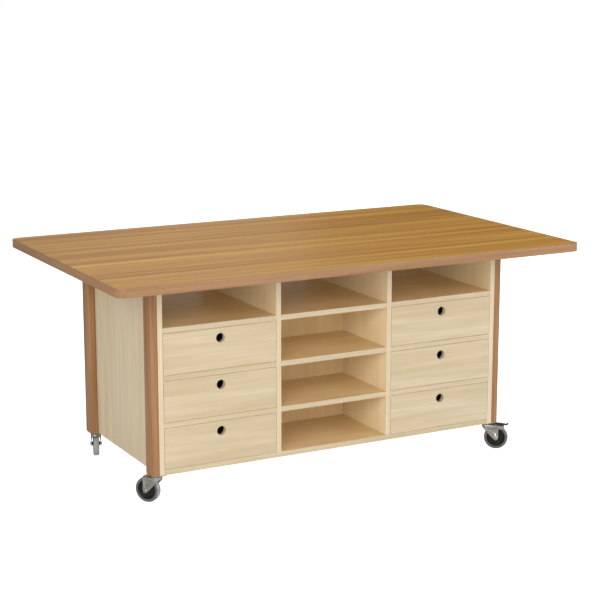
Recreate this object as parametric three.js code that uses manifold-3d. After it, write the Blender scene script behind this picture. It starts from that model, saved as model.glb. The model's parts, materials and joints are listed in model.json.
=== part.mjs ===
// Mobile sewing table: a large lipped worktop on a double-sided cabinet with three columns.
// The outer columns hold drawers at the front, the middle one holds open shelves, and the
// cabinet stands on four swivel casters, two of them with a brake pedal.
// Millimetres, +Z up, +X to the right along the front, the front face towards -Y.
// The origin is on the floor, under the middle of the worktop.

import * as THREE from 'three';
import { mergeVertices } from 'three/addons/utils/BufferGeometryUtils.js';
import Module from 'manifold-3d';

const wasm = await Module();
wasm.setup();

// ---------------------------------------------------------------- overall sizes
const HEIGHT = 900;
const GAP = 0.3; // left between two pieces that touch

// worktop
const TOP_LENGTH = 2000;
const TOP_DEPTH = 1194;
const TOP_THICKNESS = 33;
const TOP_CORNER_RADIUS = 38;
const LIPPING = 3; // thickness of the solid wood band round the worktop's edge

// cabinet
const CABINET_WIDTH = 1507; // over the two side panels
const CABINET_DEPTH = 703;
const BOARD = 20.5; // every cabinet board
const PARTITION = 8; // the thin wall between the front and the back compartments
const ROWS = 4;
const COLUMNS = ['left', 'middle', 'right'];
const DRAWER_COLUMNS = ['left', 'right'];

// corner posts, outside the side panels
const POST_THICKNESS = 29;
const POST_DEPTH = 65.5;
const POST_ROUND = 3; // radius of the eased long edges

// drawers
const REVEAL = 1.1; // gap all round an inset drawer front
const FINGER_HOLE_RADIUS = 18;
const FINGER_HOLE_DROP = 39; // from the front's upper edge to the hole's centre
const TRAY_SIDE = 12; // thickness of the tray's sides and back
const TRAY_FLOOR = 12;
const TRAY_SIDE_CLEARANCE = 4; // on each side of the tray
const TRAY_RUN_CLEARANCE = 1; // between the tray and the board it runs on
const TRAY_HEADROOM = 37; // between the tray's rim and the board above it
const TRAY_BACK_CLEARANCE = 12; // between the tray and the partition

// casters
const WHEEL_RADIUS = 50;
const WHEEL_CLEARANCE = 3; // between the tyre and the fork's crown
const TYRE_WIDTH = 24;
const TYRE_DEPTH = 11.5; // from the tread to the hub's rim
const TYRE_SECTION = [[TYRE_DEPTH, 0.5], [4, 0], [0.9, 2.5], [0, 7]]; // [below the tread, in from the side]
const HUB_HALF_LENGTH = 17;
const HUB_BOSS_RADIUS = 9;
const HUB_FLARE = 4; // how much wider the boss's foot is
const HUB_FOOT_RISE = 1; // of that foot over the web
const HUB_RIM_HALF_WIDTH = 11;
const HUB_RIM_DEPTH = 4;
const HUB_RIM_SLOPE = 3; // from the rim's inner edge down to the web
const HUB_WEB_HALF_WIDTH = 6.5;
const TRAIL = 40; // from the swivel axis to the wheel's axle
const FORK_HALF_WIDTH = 21;
const FORK_STEEL = 2.5;
const FORK_BACK = 22; // how far the fork reaches behind the swivel axis
const FORK_TIP_RADIUS = 12;
const FORK_SKIRT = 6.5; // height of the fork's upright rear edge
const REAR_WALL_DROP = 18;
const REAR_WALL_LEAN = 9;
const BRAKE_BRACKET = [[0, 18], [4, 14], [22, 17], [26, 4]]; // [past the tip's edge, below the crown]
const LUG_WALL = 1; // round the pedal's hub
const AXLE_RADIUS = 4;
const AXLE_HEAD_RADIUS = 6.5;
const AXLE_HEAD = 3.2;
const AXLE_HEAD_CHAMFER = 1.5;
const RUN_CLEARANCE = 0.3; // radial, round the axle, the king pin and the pedal's pin
const KING_PIN_RADIUS = 5;
const KING_PIN_HEAD_RADIUS = 9;
const KING_PIN_HEAD = 4;
const RACE_RADIUS = 24;
const RACE_HEIGHT = 6;
const RACE_RIM = 2; // height of the upper race's upright rim
const RACE_SLOPE = 3; // how much narrower it is below
const PLATE_SIDE = 58;
const PLATE_THICKNESS = 3;
const CASTER_INSET_X = 30.3; // from the posts' outer faces to the swivel axis
const CASTER_INSET_Y = 31.5; // from the cabinet's front and back to the swivel axis

// brake pedal, in the fork's own frame
const PEDAL_PIVOT_REACH = 33; // from the swivel axis
const PEDAL_PIVOT_RISE = 1.5; // above the fork's crown
const PEDAL_PIN_RADIUS = 1.8;
const PEDAL_HUB_RADIUS = 3.2;
const PEDAL_SIDE_CLEARANCE = 1.5;
const PEDAL_THICKNESS = 3;
const PEDAL_REACH = 51; // from its pin to where the toe turns up
const PEDAL_FALL = 4; // how far the arm falls over that reach, in a parabola
const PEDAL_TOE = 7;
const PEDAL_TOE_RISE = 8;
const PEDAL_TOE_LIP = 2; // how far the toe's lower edge reaches past its upper one
const SHOE_REACH = 27;
const SHOE_DROP = 4.8; // the shoe's lower face below the pin
const SHOE_CROWN = 1; // how much lower its middle is than its ends
const SHOE_HALF_LENGTH = 4;
const CROWN_REACH_BRAKED = 27; // the crown is cut short to leave the pedal its place

// each caster's place, and the direction its wheel trails in, in degrees from +X
const CASTERS = [
  { key: 'fl', x: -1, y: -1, heading: 127.1, braked: false },
  { key: 'fr', x: 1, y: -1, heading: -37.4, braked: true },
  { key: 'bl', x: -1, y: 1, heading: 70.7, braked: false },
  { key: 'br', x: 1, y: 1, heading: 24.0, braked: true },
];

// number of flats in a full turn
const WHEEL_SEGMENTS = 40;
const SMALL_SEGMENTS = 16;
const HOLE_SEGMENTS = 28;

// ---------------------------------------------------------------- worked out
const CROWN_UNDER = 2 * WHEEL_RADIUS + WHEEL_CLEARANCE;
const CROWN_TOP = CROWN_UNDER + FORK_STEEL;
const PLATE_UNDER = CROWN_TOP + GAP + RACE_HEIGHT;
const CABINET_BOTTOM = PLATE_UNDER + PLATE_THICKNESS + GAP;
const CABINET_TOP = HEIGHT - TOP_THICKNESS - GAP;
const CABINET_HEIGHT = CABINET_TOP - CABINET_BOTTOM;
const ROW_HEIGHT = (CABINET_HEIGHT - (ROWS + 1) * BOARD) / ROWS;
const INNER_WIDTH = CABINET_WIDTH - 2 * BOARD;
const COLUMN_WIDTH = (INNER_WIDTH - (COLUMNS.length - 1) * BOARD) / COLUMNS.length;
const COLUMN_PITCH = COLUMN_WIDTH + BOARD;
const FRONT = -CABINET_DEPTH / 2;
const PARTITION_FACE = PARTITION / 2;
const POST_OUTER = CABINET_WIDTH / 2 + GAP + POST_THICKNESS;

const columnX = (column) => (COLUMNS.indexOf(column) - 1) * COLUMN_PITCH;
// the floor of the opening in a row, counted from the top row, which is row 0
const rowFloor = (row) => CABINET_TOP - BOARD - ROW_HEIGHT - row * (ROW_HEIGHT + BOARD);

// ---------------------------------------------------------------- finishes
const finish = (color, roughness, metalness = 0) => ({ color, roughness, metalness });
const WORKTOP = finish(0xb98a4e, 0.35);
const LIPPING_WOOD = finish(0xb5835c, 0.5);
const POST_WOOD = finish(0xa87650, 0.5);
const CABINET_WOOD = finish(0xdccfaa, 0.55);
const DRAWER_WOOD = finish(0xe3d3a8, 0.5);
const PARTITION_WOOD = finish(0xcdb488, 0.6);
const STEEL = finish(0x9b9a98, 0.35, 0.9);
const HUB_PLASTIC = finish(0x161616, 0.45);
const TYRE_RUBBER = finish(0x7e8383, 0.75);
const PEDAL_PLASTIC = finish(0x1b1b1d, 0.5);

const table = new THREE.Group();

// add a geometry to a group as a named mesh with a material of its own
function add(parent, name, geometry, look) {
  const mesh = new THREE.Mesh(geometry, new THREE.MeshStandardMaterial(look));
  mesh.name = name;
  parent.add(mesh);
  return mesh;
}

// ---------------------------------------------------------------- shapes
// a box given by its low and high corners
function block([x0, y0, z0], [x1, y1, z1]) {
  const box = new THREE.BoxGeometry(x1 - x0, y1 - y0, z1 - z0);
  return box.translate((x0 + x1) / 2, (y0 + y1) / 2, (z0 + z1) / 2);
}

// the closed outline of a rectangle with round corners, about the origin
function roundedRectangle(width, depth, radius) {
  const [a, b] = [width / 2 - radius, depth / 2 - radius];
  const outline = new THREE.Shape();
  outline.absarc(a, b, radius, 0, Math.PI / 2, false);
  outline.absarc(-a, b, radius, Math.PI / 2, Math.PI, false);
  outline.absarc(-a, -b, radius, Math.PI, 1.5 * Math.PI, false);
  outline.absarc(a, -b, radius, 1.5 * Math.PI, 2 * Math.PI, false);
  outline.closePath();
  return outline;
}

// extrude an outline upwards from a height
function upright(outline, z, height, curveSegments) {
  const options = { depth: height, bevelEnabled: false, curveSegments };
  return new THREE.ExtrudeGeometry(outline, options).translate(0, 0, z);
}

// extrude an outline drawn in x and z, from y0 to y1
function sideways(outline, y0, y1, curveSegments) {
  const options = { depth: y1 - y0, bevelEnabled: false, curveSegments };
  return new THREE.ExtrudeGeometry(outline, options).rotateX(Math.PI / 2).translate(0, y1, 0);
}

// turn a closed profile of [radius, height] points round the z axis
function turned(profile, segments) {
  const points = profile.map(([r, z]) => new THREE.Vector2(r, z));
  return new THREE.LatheGeometry(points, segments);
}

// a lathe's axis is y: lay it upright, so that the profile's heights run along z
const alongZ = (geometry) => geometry.rotateX(Math.PI / 2);

// join and cut closed geometries
function solid(geometry) {
  const bare = geometry.index ? geometry.clone() : geometry;
  bare.deleteAttribute('normal');
  bare.deleteAttribute('uv');
  const merged = mergeVertices(bare, 1e-4);
  const vertProperties = new Float32Array(merged.attributes.position.array);
  const triVerts = new Uint32Array(merged.index.array);
  return new wasm.Manifold(new wasm.Mesh({ numProp: 3, vertProperties, triVerts }));
}

function geometryOf(manifold) {
  const mesh = manifold.getMesh();
  const geometry = new THREE.BufferGeometry();
  geometry.setAttribute('position', new THREE.BufferAttribute(mesh.vertProperties, 3));
  geometry.setIndex(new THREE.BufferAttribute(mesh.triVerts, 1));
  geometry.computeVertexNormals();
  return geometry;
}

const join = (...geometries) => geometries.map(solid).reduce((whole, piece) => whole.add(piece));

// ---------------------------------------------------------------- worktop
function buildWorktop() {
  const cornerSegments = 10;
  const z = HEIGHT - TOP_THICKNESS;
  const inner = (inset) => roundedRectangle(
    TOP_LENGTH - 2 * inset, TOP_DEPTH - 2 * inset, Math.max(TOP_CORNER_RADIUS - inset, 1));

  add(table, 'worktop', upright(inner(LIPPING + GAP), z, TOP_THICKNESS, cornerSegments), WORKTOP);

  const band = inner(0);
  band.holes.push(inner(LIPPING));
  add(table, 'worktop_lipping', upright(band, z, TOP_THICKNESS, cornerSegments), LIPPING_WOOD);
}

// ---------------------------------------------------------------- cabinet
function buildCabinet() {
  const [front, back] = [FRONT, -FRONT];
  const half = CABINET_WIDTH / 2;

  for (const [name, side] of [['side_left', -1], ['side_right', 1]]) {
    const [x0, x1] = side < 0 ? [-half, BOARD - half] : [half - BOARD, half];
    add(table, name, block([x0, front, CABINET_BOTTOM], [x1, back, CABINET_TOP]), CABINET_WOOD);
  }

  const reach = INNER_WIDTH / 2 - GAP;
  for (const [name, z] of [['cabinet_bottom', CABINET_BOTTOM], ['cabinet_top', CABINET_TOP - BOARD]]) {
    add(table, name, block([-reach, front, z], [reach, back, z + BOARD]), CABINET_WOOD);
  }

  const floor = CABINET_BOTTOM + BOARD + GAP;
  for (const [name, side] of [['divider_left', -1], ['divider_right', 1]]) {
    const x = side * COLUMN_PITCH / 2 - BOARD / 2;
    const high = [x + BOARD, back, CABINET_TOP - BOARD - GAP];
    add(table, name, block([x, front, floor], high), CABINET_WOOD);
  }

  for (const column of COLUMNS) {
    buildColumn(column, floor);
  }
}

// the shelves and the partition of one column
function buildColumn(column, floor) {
  const x0 = columnX(column) - COLUMN_WIDTH / 2 + GAP;
  const x1 = columnX(column) + COLUMN_WIDTH / 2 - GAP;
  const shelf = (name, row, y0, y1) => {
    const z = rowFloor(row);
    add(table, name, block([x0, y0, z - BOARD], [x1, y1, z]), CABINET_WOOD);
  };

  shelf(`shelf_upper_${column}`, 0, FRONT, -FRONT);

  const high = [x1, PARTITION_FACE, rowFloor(0) - BOARD - GAP];
  add(table, `partition_${column}`, block([x0, -PARTITION_FACE, floor], high), PARTITION_WOOD);

  for (let row = 1; row < ROWS - 1; row += 1) {
    shelf(`shelf_front_${column}_${row}`, row, FRONT, -PARTITION_FACE - GAP);
    if (!DRAWER_COLUMNS.includes(column)) {
      shelf(`shelf_back_${column}_${row}`, row, PARTITION_FACE + GAP, -FRONT);
    }
  }
}

// ---------------------------------------------------------------- posts
function buildPosts() {
  const outline = roundedRectangle(POST_THICKNESS, POST_DEPTH, POST_ROUND);
  for (const [name, sx, sy] of [
    ['post_front_left', -1, -1], ['post_front_right', 1, -1],
    ['post_back_left', -1, 1], ['post_back_right', 1, 1],
  ]) {
    const post = add(table, name, upright(outline, CABINET_BOTTOM, CABINET_HEIGHT, 3), POST_WOOD);
    post.position.x = sx * (POST_OUTER - POST_THICKNESS / 2);
    post.position.y = sy * (CABINET_DEPTH - POST_DEPTH) / 2;
  }
}

// ---------------------------------------------------------------- drawers
function drawerFront() {
  const width = COLUMN_WIDTH - 2 * REVEAL;
  const height = ROW_HEIGHT - 2 * REVEAL;
  const outline = new THREE.Shape();
  outline.moveTo(-width / 2, REVEAL);
  outline.lineTo(width / 2, REVEAL);
  outline.lineTo(width / 2, REVEAL + height);
  outline.lineTo(-width / 2, REVEAL + height);
  outline.closePath();
  const hole = new THREE.Path();
  const centre = REVEAL + height - FINGER_HOLE_DROP;
  hole.absarc(0, centre, FINGER_HOLE_RADIUS, 0, 2 * Math.PI, false);
  outline.holes.push(hole);
  return sideways(outline, FRONT, FRONT + BOARD, HOLE_SEGMENTS / 2);
}

// the tray is closed at its front by the drawer front
function drawerTray() {
  const half = COLUMN_WIDTH / 2 - TRAY_SIDE_CLEARANCE;
  const y0 = FRONT + BOARD + GAP;
  const y1 = -PARTITION_FACE - TRAY_BACK_CLEARANCE;
  const rim = ROW_HEIGHT - TRAY_HEADROOM;
  const outside = solid(block([-half, y0, TRAY_RUN_CLEARANCE], [half, y1, rim]));
  const inside = solid(block(
    [TRAY_SIDE - half, y0 - 1, TRAY_RUN_CLEARANCE + TRAY_FLOOR],
    [half - TRAY_SIDE, y1 - TRAY_SIDE, rim + 1]));
  return geometryOf(outside.subtract(inside));
}

function buildDrawers() {
  for (const column of DRAWER_COLUMNS) {
    for (let row = 1; row < ROWS; row += 1) {
      const drawer = new THREE.Group();
      drawer.position.set(columnX(column), 0, rowFloor(row));
      table.add(drawer);
      add(drawer, `drawer_front_${column}_${row}`, drawerFront(), DRAWER_WOOD);
      add(drawer, `drawer_tray_${column}_${row}`, drawerTray(), PARTITION_WOOD);
    }
  }
}

// ---------------------------------------------------------------- casters
// Each caster is drawn about its swivel axis, with its wheel trailing along +X and its axle
// along Y, and then turned to its heading.

// the plate under the cabinet, with the upper race and the king pin that carries the fork
function casterMount() {
  const half = PLATE_SIDE / 2;
  const plateTop = PLATE_UNDER + PLATE_THICKNESS;
  const overlap = RACE_RIM / 4; // the stem reaches this far into the plate, to join it
  const headTop = CROWN_UNDER - GAP;
  const stem = turned([
    [0, headTop - KING_PIN_HEAD], [KING_PIN_HEAD_RADIUS, headTop - KING_PIN_HEAD],
    [KING_PIN_HEAD_RADIUS, headTop], [KING_PIN_RADIUS, headTop],
    [KING_PIN_RADIUS, CROWN_TOP + GAP], [RACE_RADIUS - RACE_SLOPE, CROWN_TOP + GAP],
    [RACE_RADIUS, PLATE_UNDER - RACE_RIM], [RACE_RADIUS, PLATE_UNDER + overlap],
    [0, PLATE_UNDER + overlap],
  ], 2 * SMALL_SEGMENTS);
  return geometryOf(join(block([-half, -half, PLATE_UNDER], [half, half, plateTop]), alongZ(stem)));
}

// where a line from a point touches the lower side of the fork's round tip
function tipTangent(x, z) {
  const [dx, dz] = [x - TRAIL, z - WHEEL_RADIUS];
  return Math.atan2(dz, dx) + Math.acos(FORK_TIP_RADIUS / Math.hypot(dx, dz));
}

// one side plate of the fork, drawn in x and z
function forkPlate(braked) {
  const skirt = CROWN_TOP - FORK_SKIRT;
  const edge = TRAIL + FORK_TIP_RADIUS;
  const outline = new THREE.Shape();
  outline.moveTo(-FORK_BACK, CROWN_TOP);
  outline.lineTo(-FORK_BACK, skirt);
  outline.absarc(TRAIL, WHEEL_RADIUS, FORK_TIP_RADIUS, tipTangent(-FORK_BACK, skirt), 2 * Math.PI, false);
  if (braked) {
    const pivotZ = CROWN_TOP + PEDAL_PIVOT_RISE;
    const lug = PEDAL_HUB_RADIUS + LUG_WALL;
    for (const [reach, drop] of BRAKE_BRACKET) {
      outline.lineTo(edge + reach, CROWN_TOP - drop);
    }
    outline.lineTo(PEDAL_PIVOT_REACH + 3 * lug, CROWN_TOP);
    outline.absarc(PEDAL_PIVOT_REACH, pivotZ, lug, Math.PI / 4, 0.75 * Math.PI, false);
    outline.lineTo(PEDAL_PIVOT_REACH - 2 * lug, CROWN_TOP);
    const eye = new THREE.Path();
    eye.absarc(PEDAL_PIVOT_REACH, pivotZ, PEDAL_PIN_RADIUS + RUN_CLEARANCE, 0, 2 * Math.PI, false);
    outline.holes.push(eye);
  } else {
    outline.lineTo(edge, CROWN_TOP);
  }
  outline.closePath();
  const axleEye = new THREE.Path();
  axleEye.absarc(TRAIL, WHEEL_RADIUS, AXLE_RADIUS + RUN_CLEARANCE, 0, 2 * Math.PI, false);
  outline.holes.push(axleEye);
  return outline;
}

// the leaning wall that closes the fork behind the swivel axis
function forkRearWall() {
  const wall = new THREE.Shape();
  const [x, z] = [-FORK_BACK, CROWN_TOP];
  wall.moveTo(x, z);
  wall.lineTo(x, z - FORK_SKIRT);
  wall.lineTo(x + REAR_WALL_LEAN, z - REAR_WALL_DROP);
  wall.lineTo(x + REAR_WALL_LEAN + FORK_STEEL, z - REAR_WALL_DROP);
  wall.lineTo(x + FORK_STEEL, z - FORK_SKIRT);
  wall.lineTo(x + FORK_STEEL, z);
  wall.closePath();
  return wall;
}

function casterFork(braked) {
  const plate = forkPlate(braked);
  const inner = FORK_HALF_WIDTH - FORK_STEEL;
  const reach = braked ? CROWN_REACH_BRAKED : TRAIL + FORK_TIP_RADIUS;
  const low = [-FORK_BACK, -FORK_HALF_WIDTH, CROWN_UNDER];
  const high = [reach, FORK_HALF_WIDTH, CROWN_TOP];
  const hole = KING_PIN_RADIUS + RUN_CLEARANCE;
  const bore = turned([
    [0, CROWN_UNDER - 1], [hole, CROWN_UNDER - 1], [hole, CROWN_TOP + 1], [0, CROWN_TOP + 1],
  ], SMALL_SEGMENTS);
  const body = join(
    sideways(plate, -FORK_HALF_WIDTH, -inner, SMALL_SEGMENTS / 2),
    sideways(plate, inner, FORK_HALF_WIDTH, SMALL_SEGMENTS / 2),
    sideways(forkRearWall(), -FORK_HALF_WIDTH, FORK_HALF_WIDTH, 1),
    block(low, high));
  return geometryOf(body.subtract(solid(alongZ(bore))));
}

// The wheel's parts are turned about their own axis, which lies along Y. Their flats, not their
// corners, lie at the stated radius, and one of them is level with the floor.
function turnedWheel(profile) {
  const toFlats = 1 / Math.cos(Math.PI / WHEEL_SEGMENTS);
  return turned(profile, WHEEL_SEGMENTS).scale(toFlats, 1, toFlats).rotateY(Math.PI / WHEEL_SEGMENTS);
}

function wheelHub() {
  const rim = WHEEL_RADIUS - TYRE_DEPTH - GAP;
  const rimFoot = rim - HUB_RIM_DEPTH - HUB_RIM_SLOPE;
  const half = [
    [AXLE_RADIUS + RUN_CLEARANCE, HUB_HALF_LENGTH], [HUB_BOSS_RADIUS, HUB_HALF_LENGTH],
    [HUB_BOSS_RADIUS + HUB_FLARE, HUB_WEB_HALF_WIDTH + HUB_FOOT_RISE], [rimFoot, HUB_WEB_HALF_WIDTH],
    [rim - HUB_RIM_DEPTH, HUB_RIM_HALF_WIDTH], [rim, HUB_RIM_HALF_WIDTH],
  ];
  return turnedWheel(closedProfile(half));
}

function wheelTyre() {
  const half = TYRE_SECTION.map(([depth, inset]) => [WHEEL_RADIUS - depth, TYRE_WIDTH / 2 - inset]);
  return turnedWheel(closedProfile(half));
}

// close half a profile of [radius, offset] points, drawn outwards, with its mirror image
function closedProfile(half) {
  const inwards = [...half].reverse();
  const other = half.map(([r, y]) => [r, -y]);
  return [...inwards, ...other, inwards[0]];
}

function casterAxle() {
  const face = FORK_HALF_WIDTH + GAP;
  const end = face + AXLE_HEAD;
  const half = [[0, end], [AXLE_HEAD_RADIUS - AXLE_HEAD_CHAMFER, end],
    [AXLE_HEAD_RADIUS, end - AXLE_HEAD_CHAMFER], [AXLE_HEAD_RADIUS, face], [AXLE_RADIUS, face]];
  const other = half.map(([r, y]) => [r, -y]).reverse();
  return turned([...half, ...other].reverse(), SMALL_SEGMENTS);
}

// the pedal, its pin and its shoe, drawn in x and z about the pin
function brakePedal() {
  const upper = (x) => PEDAL_HUB_RADIUS - PEDAL_FALL * (x / PEDAL_REACH) ** 2;
  const lower = (x) => upper(x) - PEDAL_THICKNESS;
  const [shoeStart, shoeEnd] = [SHOE_REACH - SHOE_HALF_LENGTH, SHOE_REACH + SHOE_HALF_LENGTH];
  const shoeSide = SHOE_CROWN - SHOE_DROP;
  const toe = PEDAL_REACH + PEDAL_TOE;
  const toeTop = upper(PEDAL_REACH) + PEDAL_TOE_RISE - PEDAL_THICKNESS;
  const arm = new THREE.Shape();
  arm.moveTo(0, lower(0));
  arm.lineTo(shoeStart, lower(shoeStart));
  arm.lineTo(shoeStart, shoeSide);
  arm.lineTo(SHOE_REACH, -SHOE_DROP);
  arm.lineTo(shoeEnd, shoeSide);
  arm.lineTo(shoeEnd, lower(shoeEnd));
  arm.lineTo(PEDAL_REACH, lower(PEDAL_REACH));
  arm.lineTo(toe + PEDAL_TOE_LIP, toeTop - PEDAL_TOE_LIP);
  arm.lineTo(toe, toeTop);
  arm.lineTo(PEDAL_REACH, upper(PEDAL_REACH));
  arm.lineTo(shoeEnd, upper(shoeEnd));
  arm.lineTo(0, upper(0));
  arm.closePath();

  const halfWidth = FORK_HALF_WIDTH - FORK_STEEL - PEDAL_SIDE_CLEARANCE;
  const round = (radius, half) => turned(
    [[0, -half], [radius, -half], [radius, half], [0, half]], SMALL_SEGMENTS);
  const whole = join(
    sideways(arm, -halfWidth, halfWidth, 1),
    round(PEDAL_HUB_RADIUS, halfWidth),
    round(PEDAL_PIN_RADIUS, FORK_HALF_WIDTH));
  return geometryOf(whole);
}

function buildCaster({ key, x, y, heading, braked }) {
  const caster = new THREE.Group();
  caster.position.set(x * (POST_OUTER - CASTER_INSET_X), y * (CABINET_DEPTH / 2 - CASTER_INSET_Y), 0);
  table.add(caster);
  add(caster, `caster_mount_${key}`, casterMount(), STEEL);

  const swivel = new THREE.Group();
  swivel.rotation.z = THREE.MathUtils.degToRad(heading);
  caster.add(swivel);
  add(swivel, `caster_fork_${key}`, casterFork(braked), STEEL);

  const wheel = new THREE.Group();
  wheel.position.set(TRAIL, 0, WHEEL_RADIUS);
  swivel.add(wheel);
  add(wheel, `caster_hub_${key}`, wheelHub(), HUB_PLASTIC);
  add(wheel, `caster_tyre_${key}`, wheelTyre(), TYRE_RUBBER);
  add(wheel, `caster_axle_${key}`, casterAxle(), STEEL);

  if (braked) {
    const pedal = add(swivel, `brake_pedal_${key}`, brakePedal(), PEDAL_PLASTIC);
    pedal.position.set(PEDAL_PIVOT_REACH, 0, CROWN_TOP + PEDAL_PIVOT_RISE);
  }
}

buildWorktop();
buildCabinet();
buildPosts();
buildDrawers();
CASTERS.forEach(buildCaster);

export default table;
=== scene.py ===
"""A mobile sewing table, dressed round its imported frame.

The worktop, cabinet, posts, drawers and casters each have a class that builds their pieces at
the places that the frame gives, and dresses them in the finishes at the top of the file.
Metres, +Z up, +X to the right along the front, and the front face towards -Y.
"""

import json
import logging
import math
from dataclasses import dataclass, field
from enum import Enum, IntEnum
from functools import cache
from typing import Any, Iterable, Sequence

import bmesh
import bpy
from mathutils import Euler, Matrix, Vector


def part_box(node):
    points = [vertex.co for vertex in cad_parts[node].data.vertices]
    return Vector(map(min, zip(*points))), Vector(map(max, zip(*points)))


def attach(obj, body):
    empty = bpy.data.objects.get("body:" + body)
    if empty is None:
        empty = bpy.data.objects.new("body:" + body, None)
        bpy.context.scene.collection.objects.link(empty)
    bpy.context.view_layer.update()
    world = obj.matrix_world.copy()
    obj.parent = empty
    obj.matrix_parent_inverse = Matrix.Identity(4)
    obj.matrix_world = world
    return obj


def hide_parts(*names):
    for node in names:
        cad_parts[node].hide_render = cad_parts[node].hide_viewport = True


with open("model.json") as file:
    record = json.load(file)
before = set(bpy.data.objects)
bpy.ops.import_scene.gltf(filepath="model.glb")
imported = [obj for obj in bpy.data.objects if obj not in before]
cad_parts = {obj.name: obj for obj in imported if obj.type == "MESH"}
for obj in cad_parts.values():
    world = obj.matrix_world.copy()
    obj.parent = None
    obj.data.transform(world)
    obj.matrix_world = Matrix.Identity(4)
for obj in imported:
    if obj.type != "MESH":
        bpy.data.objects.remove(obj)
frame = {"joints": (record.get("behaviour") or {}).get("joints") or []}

LOG = logging.getLogger("sewing_table")
MM = 0.001
COLUMNS = ("left", "middle", "right")
MERGE_DISTANCE = 1e-6

Point = tuple[float, float]
Corner = tuple[float, float, float]
Colour = tuple[float, float, float, float]


# ---------------------------------------------------------------- helpers: colour and numbers
def srgb(red: int, green: int, blue: int) -> Colour:
    """Turn a colour as a screen shows it into the linear colour that the shaders take.

    Args:
        red: The red channel, 0 to 255.
        green: The green channel, 0 to 255.
        blue: The blue channel, 0 to 255.

    Returns:
        The linear colour, with full alpha.
    """
    def linear(value: int) -> float:
        """Give one channel's linear value.

        Args:
            value: The channel, 0 to 255.

        Returns:
            The linear value, 0 to 1.
        """
        share = value / 255
        return share / 12.92 if share <= 0.04045 else ((share + 0.055) / 1.055) ** 2.4

    return (linear(red), linear(green), linear(blue), 1.0)


def fillet(corners: Sequence[Corner], closed: bool = True, step: float = math.radians(12)) -> list[Point]:
    """Round the corners of an outline with arcs.

    Args:
        corners: Each corner's two coordinates and its radius, in order.
        closed: Whether the last corner joins the first.
        step: The widest turn between two points of an arc.

    Returns:
        The outline's points, with each rounded corner as an arc tangent to both its sides.
    """
    points: list[Point] = []
    count = len(corners)
    for index, (x, y, radius) in enumerate(corners):
        at_end = not closed and index in (0, count - 1)
        if radius <= 0 or at_end:
            points.append((x, y))
            continue
        corner = Vector((x, y))
        before = Vector(corners[index - 1][:2]) - corner
        after = Vector(corners[(index + 1) % count][:2]) - corner
        half = before.angle(after) / 2
        reach = min(radius / math.tan(half), before.length * 0.499, after.length * 0.499)
        radius = reach * math.tan(half)
        centre = corner + (before.normalized() + after.normalized()).normalized() * radius / math.sin(half)
        start = corner + before.normalized() * reach - centre
        end = corner + after.normalized() * reach - centre
        turn = start.angle_signed(end)
        steps = max(2, math.ceil(abs(turn) / step))
        for k in range(steps + 1):
            angle = -turn * k / steps
            spoke = Matrix.Rotation(angle, 2) @ start
            points.append((centre.x + spoke.x, centre.y + spoke.y))
    return points


def rounded_outline(low: Vector, high: Vector, radius: float, step: float) -> list[Point]:
    """Give a box's outline in plan, with its corners rounded.

    Args:
        low: The box's lowest corner.
        high: The box's highest corner.
        radius: The corners' radius.
        step: The widest turn between two points of a corner, in degrees.

    Returns:
        The outline's points.
    """
    plan = ((low.x, low.y), (high.x, low.y), (high.x, high.y), (low.x, high.y))
    return fillet([(x, y, radius) for x, y in plan], step=math.radians(step))


def in_millimetres(*corners: Corner) -> list[Corner]:
    """Turn corners that are written in millimetres into metres.

    Args:
        corners: Each corner's two coordinates and its radius.

    Returns:
        The same corners in metres.
    """
    return [(x * MM, y * MM, radius * MM) for x, y, radius in corners]


def both_sides(half: Sequence[Corner]) -> list[Corner]:
    """Give half a turned profile and its mirror image as one run of corners.

    Args:
        half: The corners of the half on the positive side.

    Returns:
        The corners of the whole profile.
    """
    return [*half, *((radius, -y, ease) for radius, y, ease in reversed(half))]


# ---------------------------------------------------------------- helpers: meshes
def cleaned(shape: bmesh.types.BMesh) -> bmesh.types.BMesh:
    """Merge a bmesh's doubles and turn its faces outwards.

    Args:
        shape: The bmesh.

    Returns:
        The same bmesh.
    """
    bmesh.ops.remove_doubles(shape, verts=shape.verts, dist=MERGE_DISTANCE)
    bmesh.ops.recalc_face_normals(shape, faces=shape.faces)
    return shape


def shade(mesh: bpy.types.Mesh, smooth: float) -> None:
    """Shade a mesh smooth, except over its sharp edges.

    Args:
        mesh: The mesh.
        smooth: Edges that turn more than this many degrees stay sharp.
    """
    mesh.shade_smooth()
    mesh.set_sharp_from_angle(angle=math.radians(smooth))


def linked_object(name: str, data: bpy.types.ID) -> bpy.types.Object:
    """Make an object and link it into the scene.

    Args:
        name: The object's name.
        data: Its mesh, light or camera.

    Returns:
        The new object, at the origin.
    """
    made = bpy.data.objects.new(name, data)
    bpy.context.scene.collection.objects.link(made)
    return made


def piece_from(name: str, shape: bmesh.types.BMesh, finishes: Sequence["Finish"],
               place: Matrix | None = None, smooth: float = 35.0) -> bpy.types.Object:
    """Turn a bmesh into an object at the origin, with its place in its mesh.

    Args:
        name: The piece's name.
        shape: The bmesh, which is freed.
        finishes: The finish of each material index.
        place: Where the piece goes, applied to its vertices.
        smooth: Edges that turn less than this many degrees are shaded smooth.

    Returns:
        The new object, linked into the scene.
    """
    cleaned(shape)
    if place is not None:
        shape.transform(place)
    mesh = bpy.data.meshes.new(name)
    shape.to_mesh(mesh)
    shape.free()
    for finish in finishes:
        mesh.materials.append(finish.material())
    shade(mesh, smooth)
    return linked_object(name, mesh)


def refine(piece: bpy.types.Object, smooth: float = 35.0) -> None:
    """Clean a made mesh and smooth its round stretches.

    Args:
        piece: The piece.
        smooth: Edges that turn less than this many degrees are shaded smooth.
    """
    shape = bmesh.new()
    shape.from_mesh(piece.data)
    cleaned(shape).to_mesh(piece.data)
    shape.free()
    shade(piece.data, smooth)


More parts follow.
